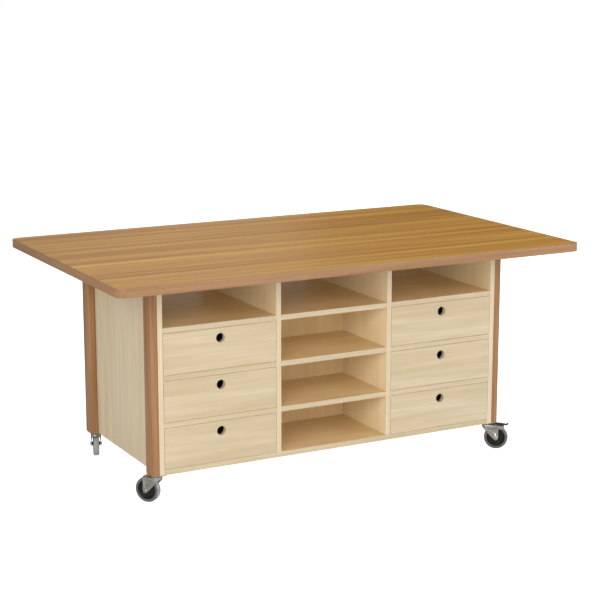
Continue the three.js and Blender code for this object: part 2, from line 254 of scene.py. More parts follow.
def settle(piece: bpy.types.Object, body: str, slot: str, *stands_for: str) -> None:
    """Let a finished piece ride on its body, and say what it is.

    Args:
        piece: The finished piece.
        body: The CAD body that it moves with.
        slot: The record's material slot; not used.
        stands_for: The CAD nodes that it replaces.
    """
    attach(piece, body)
    if stands_for:
        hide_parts(*stands_for)
    LOG.info("%s rides on %s (%d faces)", piece.name, body, len(piece.data.polygons))


def ease_edges(piece: bpy.types.Object, width: float, segments: int = 2) -> None:
    """Round a piece's sharp edges with a bevel that keeps its flat faces flat.

    Args:
        piece: The piece.
        width: The bevel's width.
        segments: The bevel's number of segments.
    """
    bevel = piece.modifiers.new("ease", "BEVEL")
    bevel.width = width
    bevel.segments = segments
    bevel.limit_method = "ANGLE"
    bevel.angle_limit = math.radians(40)
    bevel.harden_normals = True


def plain_mesh(piece: bpy.types.Object, smooth: float = 35.0) -> None:
    """Replace a piece's mesh with what its modifiers make of it, remove them and refine it.

    Args:
        piece: The piece with live modifiers.
        smooth: Edges that turn less than this many degrees are shaded smooth.
    """
    graph = bpy.context.evaluated_depsgraph_get()
    graph.update()
    mesh = bpy.data.meshes.new_from_object(piece.evaluated_get(graph), depsgraph=graph)
    mesh.name = piece.name
    piece.modifiers.clear()
    piece.data = mesh
    refine(piece, smooth)


def walls(shape: bmesh.types.BMesh, one: Sequence[bmesh.types.BMVert], other: Sequence[bmesh.types.BMVert]
          ) -> None:
    """Join two closed loops of as many points with a band of faces.

    Args:
        shape: The bmesh that the loops are in.
        one: The first loop.
        other: The second loop.
    """
    for k in range(len(one)):
        shape.faces.new((one[k - 1], one[k], other[k], other[k - 1]))


def fill_between(shape: bmesh.types.BMesh, *loops: Sequence[bmesh.types.BMVert]) -> None:
    """Fill the flat area between an outer loop and the loops inside it.

    Args:
        shape: The bmesh that the loops are in.
        loops: The loops.
    """
    edges = [shape.edges.get((loop[k - 1], loop[k])) or shape.edges.new((loop[k - 1], loop[k]))
             for loop in loops for k in range(len(loop))]
    bmesh.ops.triangle_fill(shape, edges=edges, use_beauty=True)


def extruded(outline: Sequence[Point], low: float, high: float) -> bmesh.types.BMesh:
    """Extrude an outline drawn in the first two axes along the third.

    Args:
        outline: The outline's points.
        low: Where the extrusion starts.
        high: Where it ends.

    Returns:
        The closed solid.
    """
    shape = bmesh.new()
    floor, roof = ([shape.verts.new((x, y, z)) for x, y in outline] for z in (low, high))
    shape.faces.new(floor)
    shape.faces.new(roof)
    walls(shape, floor, roof)
    return shape


# for outlines drawn in x and z: it keeps x, and sends the second axis to z and the third to -y
SIDEWAYS = Matrix.Rotation(math.pi / 2, 4, "X")


def turned(profile: Sequence[Point], segments: int) -> bmesh.types.BMesh:
    """Turn a profile round the Y axis.

    Args:
        profile: Points of radius and distance along Y, either closed or with both ends on the axis.
        segments: The number of steps in a full turn.

    Returns:
        The closed solid.
    """
    shape = bmesh.new()
    angles = [2 * math.pi * k / segments for k in range(segments)]
    rings = []
    for radius, y in profile:
        if radius < MERGE_DISTANCE:
            rings.append([shape.verts.new((0, y, 0))] * segments)
        else:
            rings.append([shape.verts.new((radius * math.cos(a), y, radius * math.sin(a))) for a in angles])
    closed = profile[0][0] >= MERGE_DISTANCE
    pairs = zip(rings, rings[1:] + (rings[:1] if closed else []))
    for one, other in pairs:
        for k in range(segments):
            j = (k + 1) % segments
            corners = list(dict.fromkeys((one[k], one[j], other[j], other[k])))
            if len(corners) > 2:
                shape.faces.new(corners)
    return shape


def box_shape(low: Vector, high: Vector) -> bmesh.types.BMesh:
    """Give a box between two corners.

    Args:
        low: The lowest corner.
        high: The highest corner.

    Returns:
        The box as a bmesh.
    """
    shape = bmesh.new()
    bmesh.ops.create_cube(shape, size=1.0)
    size = Matrix.Diagonal((*(high - low), 1.0))
    shape.transform(Matrix.Translation((low + high) / 2) @ size)
    return shape


# ---------------------------------------------------------------- helpers: node trees
class Wiring:
    """Adds nodes to a tree, with their inputs linked or set in the same call."""

    def __init__(self, tree: bpy.types.NodeTree) -> None:
        """Keep the tree that the nodes go into.

        Args:
            tree: The tree.
        """
        self.tree = tree

    def add(self, kind: str, inputs: dict[Any, Any] | None = None, **settings: Any) -> bpy.types.Node:
        """Add one node.

        Args:
            kind: The node's type.
            inputs: For each input's name or number, a socket to link from or a value to set.
            settings: Properties of the node.

        Returns:
            The new node.
        """
        node = self.tree.nodes.new(kind)
        for name, value in settings.items():
            setattr(node, name, value)
        self.feed(node, inputs or {})
        return node

    def feed(self, node: bpy.types.Node, inputs: dict[Any, Any]) -> None:
        """Link or set a node's inputs.

        Args:
            node: The node.
            inputs: For each input's name or number, a socket to link from or a value to set.
        """
        for key, value in inputs.items():
            if isinstance(value, bpy.types.NodeSocket):
                self.tree.links.new(value, node.inputs[key])
            else:
                node.inputs[key].default_value = value

    def relief(self, height: Any, distance: float) -> bpy.types.NodeSocket:
        """Add a bump node and give its normal.

        Args:
            height: The relief's height, 0 to 1.
            distance: How far 1 stands out.

        Returns:
            The normal's socket.
        """
        return self.add("ShaderNodeBump", {"Height": height, "Distance": distance}).outputs[0]

    def place(self) -> bpy.types.NodeSocket:
        """Give the object coordinates.

        Returns:
            Their socket, in metres.
        """
        return self.add("ShaderNodeTexCoord").outputs["Object"]

    def parts(self, vector: Any) -> bpy.types.NodeOutputs:
        """Split a vector.

        Args:
            vector: The vector's socket.

        Returns:
            The sockets of its X, Y and Z.
        """
        return self.add("ShaderNodeSeparateXYZ", {0: vector}).outputs

    def joined(self, values: dict[int, Any]) -> bpy.types.NodeSocket:
        """Join values into a vector.

        Args:
            values: For an axis from 0 to 2, a socket or a value; the others stay 0.

        Returns:
            The vector's socket.
        """
        return self.add("ShaderNodeCombineXYZ", values).outputs[0]

    def math(self, operation: str, first: Any, second: Any = 0.0) -> bpy.types.NodeSocket:
        """Add a math node.

        Args:
            operation: What it does.
            first: The first socket or value.
            second: The second socket or value.

        Returns:
            The result's socket.
        """
        return self.add("ShaderNodeMath", {0: first, 1: second}, operation=operation).outputs[0]

    def vector(self, operation: str, first: Any, second: Any) -> bpy.types.NodeSocket:
        """Add a vector math node.

        Args:
            operation: What it does.
            first: The first socket or value.
            second: The second socket or value.

        Returns:
            The result's socket.
        """
        return self.add("ShaderNodeVectorMath", {0: first, 1: second}, operation=operation).outputs[0]

    def spread(self, value: Any, low: float, high: float, to_low: float = 0.0, to_high: float = 1.0
               ) -> bpy.types.NodeSocket:
        """Map a range of a value onto another, and clamp it there.

        Args:
            value: The socket to read.
            low: The value that becomes to_low.
            high: The value that becomes to_high.
            to_low: The result's start.
            to_high: The result's end.

        Returns:
            The mapped value's socket.
        """
        keys = ("Value", "From Min", "From Max", "To Min", "To Max")
        return self.add("ShaderNodeMapRange", dict(zip(keys, (value, low, high, to_low, to_high)))).outputs[0]

    def noise(self, vector: Any, scale: float = 1.0, detail: float = 2.0, roughness: float = 0.5
              ) -> bpy.types.NodeSocket:
        """Add a noise texture.

        Args:
            vector: The vector that it reads.
            scale: Its scale.
            detail: How many octaves it has.
            roughness: How much each octave adds.

        Returns:
            The noise value's socket.
        """
        inputs = {"Vector": vector, "Scale": scale, "Detail": detail, "Roughness": roughness}
        return self.add("ShaderNodeTexNoise", inputs).outputs[0]

    def blend(self, share: Any, first: Any, second: Any) -> bpy.types.NodeSocket:
        """Mix two colours.

        Args:
            share: How much of the second colour shows.
            first: The first colour.
            second: The second colour.

        Returns:
            The mixed colour's socket.
        """
        node = self.add("ShaderNodeMix", {0: share, 6: first, 7: second}, data_type="RGBA")
        return node.outputs[2]


def node_group(name: str, kind: str, inputs: dict[str, tuple[str, Any]], outputs: dict[str, str]
               ) -> tuple[bpy.types.NodeTree, bpy.types.Node, bpy.types.Node]:
    """Make an empty node group with named sockets.

    Args:
        name: The group's name.
        kind: ShaderNodeTree or GeometryNodeTree.
        inputs: For each input's name, its socket type and its default value.
        outputs: For each output's name, its socket type.

    Returns:
        The group, its input node and its output node.
    """
    tree = bpy.data.node_groups.new(name, kind)
    for label, (socket, default) in inputs.items():
        made = tree.interface.new_socket(label, in_out="INPUT", socket_type=socket)
        if default is not None:
            made.default_value = default
    for label, socket in outputs.items():
        tree.interface.new_socket(label, in_out="OUTPUT", socket_type=socket)
    return tree, tree.nodes.new("NodeGroupInput"), tree.nodes.new("NodeGroupOutput")


class PatternLibrary:
    """The shader groups that several finishes share, each built once."""

    @staticmethod
    @cache
    def timber() -> bpy.types.NodeTree:
        """Give the group for wood: broad figure, growth lines, fine fibres and pores.

        Returns:
            A group that takes a vector whose X runs along the grain, in metres.
        """
        sizes = {"Figure Width": 0.05, "Figure Length": 0.8, "Line Width": 0.006, "Fibre Width": 0.0012,
                 "Waviness": 0.4}
        inputs = {"Vector": ("NodeSocketVector", None)}
        inputs |= {label: ("NodeSocketFloat", value) for label, value in sizes.items()}
        outputs = {label: "NodeSocketFloat" for label in ("Figure", "Lines", "Fibre", "Pores")}
        tree, given, result = node_group("timber", "ShaderNodeTree", inputs, outputs)
        wire = Wiring(tree)
        vector = given.outputs["Vector"]

        def stretched(source: Any, length: Any, width: Any) -> bpy.types.NodeSocket:
            """Scale a vector so that one unit is a length along the grain and a width across it.

            Args:
                source: The vector.
                length: The length along the grain.
                width: The width across it.

            Returns:
                The scaled vector's socket.
            """
            along, across = wire.math("DIVIDE", 1.0, length), wire.math("DIVIDE", 1.0, width)
            return wire.vector("MULTIPLY", source, wire.joined({0: along, 1: across, 2: across}))

        length, width = given.outputs["Figure Length"], given.outputs["Figure Width"]
        slow = wire.noise(stretched(vector, length, wire.math("MULTIPLY", width, 3.0)), detail=1.0)
        sway = wire.math("MULTIPLY", wire.math("SUBTRACT", slow, 0.5), given.outputs["Waviness"])
        drift = wire.math("MULTIPLY", sway, width)
        swayed = wire.vector("ADD", vector, wire.joined({1: drift, 2: drift}))
        figure = wire.noise(stretched(swayed, length, width), detail=2.5, roughness=0.55)
        lines = wire.noise(stretched(swayed, wire.math("MULTIPLY", length, 0.5), given.outputs["Line Width"]),
                           detail=1.5)
        fine = given.outputs["Fibre Width"]
        fibre = wire.noise(stretched(swayed, wire.math("MULTIPLY", fine, 45.0), fine), detail=2.0)
        pores = wire.noise(stretched(vector, wire.math("MULTIPLY", fine, 9.0),
                                     wire.math("MULTIPLY", fine, 0.6)), detail=1.0)
        wire.feed(result, {"Figure": wire.spread(figure, 0.3, 0.7), "Lines": wire.spread(lines, 0.32, 0.68),
                           "Fibre": wire.spread(fibre, 0.25, 0.75), "Pores": wire.spread(pores, 0.64, 0.74)})
        return tree

    @staticmethod
    @cache
    def handling() -> bpy.types.NodeTree:
        """Give the group for signs of use: broad smudges, fine scuffs and settled dust.

        Returns:
            A group that takes a vector in metres and two sizes.
        """
        inputs = {"Vector": ("NodeSocketVector", None), "Smudge Size": ("NodeSocketFloat", 0.02),
                  "Scuff Size": ("NodeSocketFloat", 0.001)}
        outputs = {label: "NodeSocketFloat" for label in ("Smudges", "Scuffs", "Dust")}
        tree, given, result = node_group("handling", "ShaderNodeTree", inputs, outputs)
        wire = Wiring(tree)

        def at_size(size: Any) -> bpy.types.NodeSocket:
            """Scale the vector so that one unit is the given size.

            Args:
                size: The size.

            Returns:
                The scaled vector's socket.
            """
            scale = wire.add("ShaderNodeVectorMath", {0: given.outputs["Vector"],
                                                      "Scale": wire.math("DIVIDE", 1.0, size)},
                             operation="SCALE")
            return scale.outputs[0]

        smudge = wire.noise(at_size(given.outputs["Smudge Size"]), detail=3.0, roughness=0.6)
        scuff = wire.noise(at_size(given.outputs["Scuff Size"]), detail=2.0, roughness=0.7)
        normal = wire.add("ShaderNodeNewGeometry").outputs["Normal"]
        facing_up = wire.spread(wire.parts(normal)["Z"], 0.2, 1.0)
        smudges = wire.spread(smudge, 0.35, 0.65)
        wire.feed(result, {"Smudges": smudges, "Scuffs": wire.spread(scuff, 0.55, 0.75),
                           "Dust": wire.math("MULTIPLY", facing_up, smudges)})
        return tree


# ---------------------------------------------------------------- finishes
class Grain(Enum):
    """Which way a board's grain runs, as the turn that brings it onto the pattern's X axis."""

    ALONG_X = (0.0, 0.0, 0.0)
    ALONG_Y = (0.0, 0.0, -math.pi / 2)
    ALONG_Z = (0.0, math.pi / 2, 0.0)


@dataclass(frozen=True)
class Finish:
    """A material that is built once and shared by the pieces that wear it.

    Attributes:
        name: The material's name.
    """

    name: str

    def material(self) -> bpy.types.Material:
        """Give this finish's material, built the first time that it is asked for.

        Returns:
            The material.
        """
        found = bpy.data.materials.get(self.name)
        if found:
            return found
        material = bpy.data.materials.new(self.name)
        material.use_nodes = True
        wire = Wiring(material.node_tree)
        shader = next(n for n in material.node_tree.nodes if n.type == "BSDF_PRINCIPLED")
        self.wire_up(wire, shader)
        return material

    def wire_up(self, wire: Wiring, shader: bpy.types.Node) -> None:
        """Wire this finish's pattern into its shader.

        Args:
            wire: The material's wiring.
            shader: Its Principled shader.

        Raises:
            NotImplementedError: Always; each kind of finish has its own.
        """
        raise NotImplementedError

    @staticmethod
    def signs_of_use(wire: Wiring, smudge: float, scuff: float) -> bpy.types.NodeOutputs:
        """Add the handling group.

        Args:
            wire: The material's wiring.
            smudge: The smudges' size.
            scuff: The scuffs' size.

        Returns:
            Its Smudges, Scuffs and Dust.
        """
        wear = wire.add("ShaderNodeGroup", node_tree=PatternLibrary.handling())
        wire.feed(wear, {"Vector": wire.place(), "Smudge Size": smudge, "Scuff Size": scuff})
        return wear.outputs


@dataclass(frozen=True)
class Wood(Finish):
    """Lacquered wood, with its figure, growth lines, fibres and pores.

    Attributes:
        pale: The colour of the palest streaks.
        deep: The colour of the deepest streaks.
        fibre_colour: The colour of the fibres and pores.
        grain: Which way the grain runs.
        figure: Width and length of the broad figure.
        line_width: Width of the growth lines.
        fibre_width: Width of the fibres.
        line_share: How strongly the growth lines show.
        fibre_share: How strongly the fibres show.
        pore_share: How strongly the pores show.
        knots: How strongly small knots show.
        waviness: How far the figure sways.
        roughness: The lacquer's roughness.
        coat: The weight of the clear coat.
        gloss: The specular level under the coat.
        relief: The height of the grain's relief.
        crosswise_past: Past this distance from the middle the grain runs front to back; 0 for never.
    """

    pale: Colour = (0.8, 0.7, 0.5, 1.0)
    deep: Colour = (0.6, 0.5, 0.3, 1.0)
    fibre_colour: Colour = (0.4, 0.3, 0.2, 1.0)
    grain: Grain = Grain.ALONG_X
    figure: Point = (0.05, 0.8)
    line_width: float = 0.006
    fibre_width: float = 0.0012
    line_share: float = 0.35
    fibre_share: float = 0.2
    pore_share: float = 0.15
    knots: float = 0.0
    waviness: float = 0.6
    roughness: float = 0.4
    coat: float = 0.15
    gloss: float = 0.4
    relief: float = 0.00004
    crosswise_past: float = 0.0

    def pattern_vector(self, wire: Wiring) -> bpy.types.NodeSocket:
        """Give the vector of the wood's pattern, with X along the grain.

        Args:
            wire: The material's wiring.

        Returns:
            The vector's socket, in metres, moved from board to board.
        """
        place = wire.place()
        aligned = wire.add("ShaderNodeMapping", {"Vector": place, "Rotation": self.grain.value}).outputs[0]
        if self.crosswise_past:
            reach = wire.math("ABSOLUTE", wire.parts(place)["X"])
            beyond = wire.math("GREATER_THAN", reach, self.crosswise_past)
            crosswise = wire.add("ShaderNodeMapping", {"Vector": place, "Rotation": Grain.ALONG_Y.value})
            mixed = wire.add("ShaderNodeMix", {0: beyond, 4: aligned, 5: crosswise.outputs[0]},
                             data_type="VECTOR")
            aligned = mixed.outputs[1]
        board = wire.add("ShaderNodeAttribute", attribute_name=BOARD_ATTRIBUTE).outputs["Fac"]
        shift = {axis: wire.math("MULTIPLY", board, step) for axis, step in enumerate(BOARD_SHIFT)}
        return wire.vector("ADD", aligned, wire.joined(shift))

    def wire_up(self, wire: Wiring, shader: bpy.types.Node) -> None:
        """Wire the wood's colour, gloss and relief into its shader.

        Args:
            wire: The material's wiring.
            shader: Its Principled shader.
        """
        vector = self.pattern_vector(wire)
        timber = wire.add("ShaderNodeGroup", node_tree=PatternLibrary.timber())
        wire.feed(timber, {"Vector": vector, "Figure Width": self.figure[0], "Figure Length": self.figure[1],
                           "Line Width": self.line_width, "Fibre Width": self.fibre_width,
                           "Waviness": self.waviness})
        out = timber.outputs
        tone = wire.blend(out["Figure"], self.deep, self.pale)
        for layer, share, colour in (("Lines", self.line_share, self.deep),
                                     ("Fibre", self.fibre_share, self.fibre_colour),
                                     ("Pores", self.pore_share, self.fibre_colour)):
            tone = wire.blend(wire.math("MULTIPLY", out[layer], share), tone, colour)
        if self.knots:
            spaced = wire.vector("MULTIPLY", vector, KNOTS_PER_METRE)
            cells = wire.add("ShaderNodeTexVoronoi", {"Vector": spaced, "Scale": 1.0}).outputs["Distance"]
            knot = wire.math("MULTIPLY", wire.spread(cells, 0.055, 0.02), self.knots)
            tone = wire.blend(knot, tone, self.fibre_colour)
        height = wire.math("SUBTRACT", out["Fibre"], out["Pores"])
        wire.feed(shader, {
            "Base Color": tone,
            "Roughness": wire.spread(out["Fibre"], 0.0, 1.0, self.roughness - 0.05, self.roughness + 0.07),
            "Coat Weight": self.coat, "Coat Roughness": 0.25, "Specular IOR Level": self.gloss,
            "Normal": wire.relief(height, self.relief)})


@dataclass(frozen=True)
class PlyEdge(Finish):
    """The cut edge of plywood, with its layers seen end on.

    Attributes:
        across: The axis that the layers are stacked along: 0 for X, 1 for Y, 2 for Z.
        pale: The colour of the layers that run lengthwise.
        deep: The colour of the layers that are cut across.
        layer: The thickness of one layer.
    """

    across: int = 0
    pale: Colour = (0.7, 0.55, 0.35, 1.0)
    deep: Colour = (0.35, 0.22, 0.12, 1.0)
    layer: float = 0.0013

    def wire_up(self, wire: Wiring, shader: bpy.types.Node) -> None:
        """Wire the layers into the shader.

        Args:
            wire: The material's wiring.
            shader: Its Principled shader.
        """
        place = wire.place()
        stacked = wire.parts(place)[self.across]
        ripple = wire.noise(place, scale=60.0, detail=1.0)
        offset = wire.math("MULTIPLY", ripple, self.layer * 0.5)
        phase = wire.math("MULTIPLY", wire.math("ADD", stacked, offset), math.pi / self.layer)
        layers = wire.spread(wire.math("SINE", phase), -0.35, 0.35)
        flecks = wire.noise(place, scale=900.0, detail=2.0)
        tone = wire.blend(layers, self.deep, self.pale)
        tone = wire.blend(wire.spread(flecks, 0.4, 0.7, 0.0, 0.35), tone, self.deep)
        wire.feed(shader, {"Base Color": tone, "Roughness": wire.spread(flecks, 0.3, 0.7, 0.5, 0.65),
                           "Normal": wire.relief(layers, 0.05 * MM)})


@dataclass(frozen=True)
class Metal(Finish):
    """Zinc plated pressed steel, with spangle, smudges and fine scuffs.

    Attributes:
        colour: The plating's colour.
        dull: The colour where it has dulled.
        roughness: How rough the plating is.
    """

    colour: Colour = (0.6, 0.6, 0.6, 1.0)
    dull: Colour = (0.4, 0.4, 0.4, 1.0)
    roughness: float = 0.3

    def wire_up(self, wire: Wiring, shader: bpy.types.Node) -> None:
        """Wire the plating into the shader.

        Args:
            wire: The material's wiring.
            shader: Its Principled shader.
        """
        wear = self.signs_of_use(wire, 12 * MM, 0.7 * MM)
        tone = wire.blend(wire.math("MULTIPLY", wear["Smudges"], 0.7), self.colour, self.dull)
        tone = wire.blend(wire.math("MULTIPLY", wear["Dust"], 0.12), tone, srgb(150, 145, 136))
        rough = wire.math("ADD", wire.math("MULTIPLY", wear["Smudges"], 0.12),
                          wire.math("MULTIPLY", wear["Scuffs"], 0.1))
        wire.feed(shader, {"Base Color": tone, "Roughness": wire.math("ADD", rough, self.roughness),
                           "Metallic": 1.0, "Normal": wire.relief(wear["Scuffs"], 0.02 * MM)})


@dataclass(frozen=True)
class Moulded(Finish):
    """Moulded plastic or rubber, with a fine moulded texture and dust in it.

    Attributes:
        colour: The moulding's colour.
        worn: The colour where it is rubbed.
        dust: How much dust has settled.
        roughness: How rough it is.
        texture: The size of the moulded texture.
    """

    colour: Colour = (0.02, 0.02, 0.02, 1.0)
    worn: Colour = (0.05, 0.05, 0.05, 1.0)
    dust: float = 0.2
    roughness: float = 0.5
    texture: float = 0.0006

    def wire_up(self, wire: Wiring, shader: bpy.types.Node) -> None:
        """Wire the moulding into the shader.

        Args:
            wire: The material's wiring.
            shader: Its Principled shader.
        """
        wear = self.signs_of_use(wire, 15 * MM, self.texture)
        tone = wire.blend(wear["Smudges"], self.colour, self.worn)
        tone = wire.blend(wire.math("MULTIPLY", wear["Dust"], self.dust), tone, srgb(168, 160, 148))
        rough = wire.spread(wear["Smudges"], 0.0, 1.0, self.roughness - 0.06, self.roughness + 0.08)
        wire.feed(shader, {"Base Color": tone, "Roughness": rough,
                           "Normal": wire.relief(wear["Scuffs"], 0.06 * MM)})


class FirstNumber(IntEnum):
    """The first board number of each kind of piece; a number moves the wood's pattern."""

    WORKTOP = 0
    LIPPING = 1
    CABINET = 10
    POST = 50
    DRAWER = 70


BOARD_ATTRIBUTE = "board"
BOARD_SHIFT = (3.7, 5.3, 4.1)
KNOTS_PER_METRE = (2.6, 5.5, 5.5)

BIRCH = {"pale": srgb(209, 198, 175), "deep": srgb(190, 173, 141), "fibre_colour": srgb(170, 144, 104),
         "figure": (0.03, 0.55), "line_width": 0.0055, "line_share": 0.6, "fibre_share": 0.16,
         "pore_share": 0.08, "roughness": 0.42, "coat": 0.12}
# The inside colours are paler than BIRCH: painted light that brightens the shaded faces inside the cabinet.
INSIDE_PAINTED_LIGHT = BIRCH | {"pale": srgb(236, 213, 172), "deep": srgb(224, 194, 144),
                  "fibre_colour": srgb(196, 160, 112)}
BEECH = {"fibre_colour": srgb(128, 82, 52), "figure": (0.022, 0.7), "line_width": 0.004,
         "line_share": 0.6, "fibre_share": 0.22, "pore_share": 0.4, "fibre_width": 0.0009,
         "roughness": 0.45, "coat": 0.05, "gloss": 0.3}

WORKTOP_WOOD = Wood("worktop_hardwood", pale=srgb(202, 156, 70), deep=srgb(146, 97, 22),
                    fibre_colour=srgb(104, 62, 12), figure=(0.06, 2.4), line_width=0.014, line_share=0.75,
                    fibre_share=0.12, pore_share=0.1, knots=0.6, waviness=0.5, roughness=0.36, coat=0.0,
                    gloss=0.3)
LIPPING_WOOD = Wood("lipping_beech", pale=srgb(168, 133, 99), deep=srgb(141, 105, 71),
                    crosswise_past=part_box("worktop")[1].x - 0.02, **BEECH)
POST_WOOD = Wood("post_beech", pale=srgb(180, 138, 100), deep=srgb(136, 97, 61), grain=Grain.ALONG_Z,
                 **BEECH)
BOARD_LONG = Wood("birch_grain_across", grain=Grain.ALONG_X, **BIRCH)
BOARD_UPRIGHT = Wood("birch_board_upright", grain=Grain.ALONG_Z,
                     **BIRCH | {"pale": srgb(219, 208, 184), "deep": srgb(201, 184, 152)})
# Painted light: the inside walls and partitions are painted paler still than the inside floors.
INSIDE_LONG_PAINTED_LIGHT = Wood("birch_inside_across_painted_light", grain=Grain.ALONG_X, **INSIDE_PAINTED_LIGHT)
INSIDE_UPRIGHT_PAINTED_LIGHT = Wood("birch_inside_upright_painted_light", grain=Grain.ALONG_Z,
                      **INSIDE_PAINTED_LIGHT | {"pale": srgb(245, 231, 202), "deep": srgb(236, 216, 175)})
DRAWER_FACE = Wood("birch_drawer_face", grain=Grain.ALONG_X, **BIRCH)
PANEL_UPRIGHT_PAINTED_LIGHT = Wood("birch_partition_painted_light", grain=Grain.ALONG_Z, **INSIDE_PAINTED_LIGHT)
TRAY_LONG = Wood("tray_ply_across", grain=Grain.ALONG_X, **BIRCH)
TRAY_DEEP = Wood("tray_ply_front_to_back", grain=Grain.ALONG_Y, **BIRCH)
PLY_COLOURS = {"pale": srgb(224, 198, 154), "deep": srgb(176, 138, 92)}
PLY_ACROSS_X = PlyEdge("ply_edge_side", across=0, **PLY_COLOURS)
PLY_ACROSS_Y = PlyEdge("ply_edge_back", across=1, **PLY_COLOURS)
ZINC = Metal("zinc_plated_steel", colour=srgb(196, 195, 193), dull=srgb(158, 156, 154), roughness=0.26)
BRIGHT_STEEL = Metal("bright_steel", colour=srgb(214, 213, 210), dull=srgb(180, 179, 176), roughness=0.16)
HUB_PLASTIC = Moulded("hub_black_plastic", colour=srgb(12, 12, 13), worn=srgb(20, 20, 21), dust=0.04,
                      roughness=0.36)
PEDAL_PLASTIC = Moulded("pedal_black_plastic", colour=srgb(24, 24, 26), worn=srgb(40, 40, 42), dust=0.14,
                        roughness=0.45)
TYRE_RUBBER = Moulded("tyre_grey_rubber", colour=srgb(98, 101, 102), worn=srgb(84, 87, 88), dust=0.15,
                      roughness=0.65, texture=0.0009)
# The tread's lighter grey is painted light: it makes the rolling face brighter than the sidewalls.
TYRE_TREAD_PAINTED_LIGHT = Moulded("tyre_tread_painted_light", colour=srgb(166, 168, 169), worn=srgb(144, 147, 148), dust=0.2,
                     roughness=0.75, texture=0.0012)


def mark_board(piece: bpy.types.Object, number: int) -> None:
    """Give a board a number of its own, which moves its wood's pattern.

    Args:
        piece: The board.
        number: Its number.
    """
    attribute = piece.data.attributes.new(BOARD_ATTRIBUTE, "FLOAT", "POINT")
    golden = 0.618034
    attribute.data.foreach_set("value", [(number * golden) % 1.0] * len(piece.data.vertices))


# ---------------------------------------------------------------- geometry node trees
class RepeatTrees:
    """The geometry node trees that repeat a part or sweep a section, each built once."""

    @classmethod
    @cache
    def grid_of_copies(cls) -> bpy.types.NodeTree:
        """Give the tree that sets copies of the object's own mesh out on a grid.

        Returns:
            A tree with named counts, spans, turn, place and material.
        """
        inputs = {"Geometry": ("NodeSocketGeometry", None), "Count Across": ("NodeSocketInt", 2),
                  "Count Along": ("NodeSocketInt", 2), "Span Across": ("NodeSocketFloat", 0.04),
                  "Span Along": ("NodeSocketFloat", 0.04), "Turn": ("NodeSocketRotation", None),
                  "Place": ("NodeSocketVector", None), "Material": ("NodeSocketMaterial", None)}
        tree, given, result = node_group("grid_of_copies", "GeometryNodeTree", inputs,
                                         {"Geometry": "NodeSocketGeometry"})
        wire, out = Wiring(tree), given.outputs
        grid = wire.add("GeometryNodeMeshGrid", {"Size X": out["Span Across"], "Size Y": out["Span Along"],
                                                 "Vertices X": out["Count Across"],
                                                 "Vertices Y": out["Count Along"]})
        copies = wire.add("GeometryNodeInstanceOnPoints", {"Points": grid.outputs["Mesh"],
                                                           "Instance": out["Geometry"]})
        placed = wire.add("GeometryNodeTransform", {"Geometry": copies.outputs[0],
                                                    "Translation": out["Place"], "Rotation": out["Turn"]})
        cls.close(wire, placed.outputs[0], out["Material"], result)
        return tree

    @classmethod
    @cache
    def ring_of_copies(cls) -> bpy.types.NodeTree:
        """Give the tree that sets copies of the object's own mesh out on a circle.

        Returns:
            A tree with a named count, radius, place and material.
        """
        inputs = {"Geometry": ("NodeSocketGeometry", None), "Count": ("NodeSocketInt", 12),
                  "Radius": ("NodeSocketFloat", 0.02), "Place": ("NodeSocketVector", None),
                  "Material": ("NodeSocketMaterial", None)}
        tree, given, result = node_group("ring_of_copies", "GeometryNodeTree", inputs,
                                         {"Geometry": "NodeSocketGeometry"})
        wire, out = Wiring(tree), given.outputs
        ring = wire.add("GeometryNodeMeshCircle", {"Vertices": out["Count"], "Radius": out["Radius"]})
        copies = wire.add("GeometryNodeInstanceOnPoints", {"Points": ring.outputs["Mesh"],
                                                           "Instance": out["Geometry"]})
        placed = wire.add("GeometryNodeTransform", {"Geometry": copies.outputs[0],
                                                    "Translation": out["Place"]})
        cls.close(wire, placed.outputs[0], out["Material"], result)
        return tree

    @classmethod
    @cache
    def edge_band(cls) -> bpy.types.NodeTree:
        """Give the tree that sweeps a band's section round a rectangle with round corners.

        Returns:
            A tree with named sizes and a material. The length and depth are to the band's middle.
        """
        sizes = ("Length", "Depth", "Corner Radius", "Thickness", "Height", "Ease")
        inputs = {"Geometry": ("NodeSocketGeometry", None)}
        inputs |= {label: ("NodeSocketFloat", 0.01) for label in sizes}
        inputs |= {"Corner Steps": ("NodeSocketInt", 12), "Place": ("NodeSocketVector", None),
                   "Material": ("NodeSocketMaterial", None)}
        tree, given, result = node_group("edge_band", "GeometryNodeTree", inputs,
                                         {"Geometry": "NodeSocketGeometry"})
        wire, out = Wiring(tree), given.outputs
        path = wire.add("GeometryNodeCurvePrimitiveQuadrilateral", {"Width": out["Length"],
                                                                    "Height": out["Depth"]})
        corners = wire.add("GeometryNodeFilletCurve", {"Curve": path.outputs[0],
                                                       "Radius": out["Corner Radius"],
                                                       "Count": out["Corner Steps"]}, mode="POLY")
        level = wire.add("GeometryNodeSetCurveNormal", {"Curve": corners.outputs[0]}, mode="Z_UP")
        section = wire.add("GeometryNodeCurvePrimitiveQuadrilateral", {"Width": out["Thickness"],
                                                                       "Height": out["Height"]})
        eased = wire.add("GeometryNodeFilletCurve", {"Curve": section.outputs[0], "Radius": out["Ease"],
                                                     "Count": 3}, mode="POLY")
        swept = wire.add("GeometryNodeCurveToMesh", {"Curve": level.outputs[0],
                                                     "Profile Curve": eased.outputs[0]})
        placed = wire.add("GeometryNodeTransform", {"Geometry": swept.outputs[0],
                                                    "Translation": out["Place"]})
        cls.close(wire, placed.outputs[0], out["Material"], result)
        return tree

    @staticmethod
    def close(wire: Wiring, geometry: Any, material: Any, result: bpy.types.Node) -> None:
        """End a tree with real copies in their material.

        Args:
            wire: The tree's wiring.
            geometry: The socket to end with.
            material: The material's socket.
            result: The tree's output node.
        """
        real = wire.add("GeometryNodeRealizeInstances", {"Geometry": geometry})
        dressed = wire.add("GeometryNodeSetMaterial", {"Geometry": real.outputs[0], "Material": material})
        wire.feed(result, {"Geometry": dressed.outputs[0]})

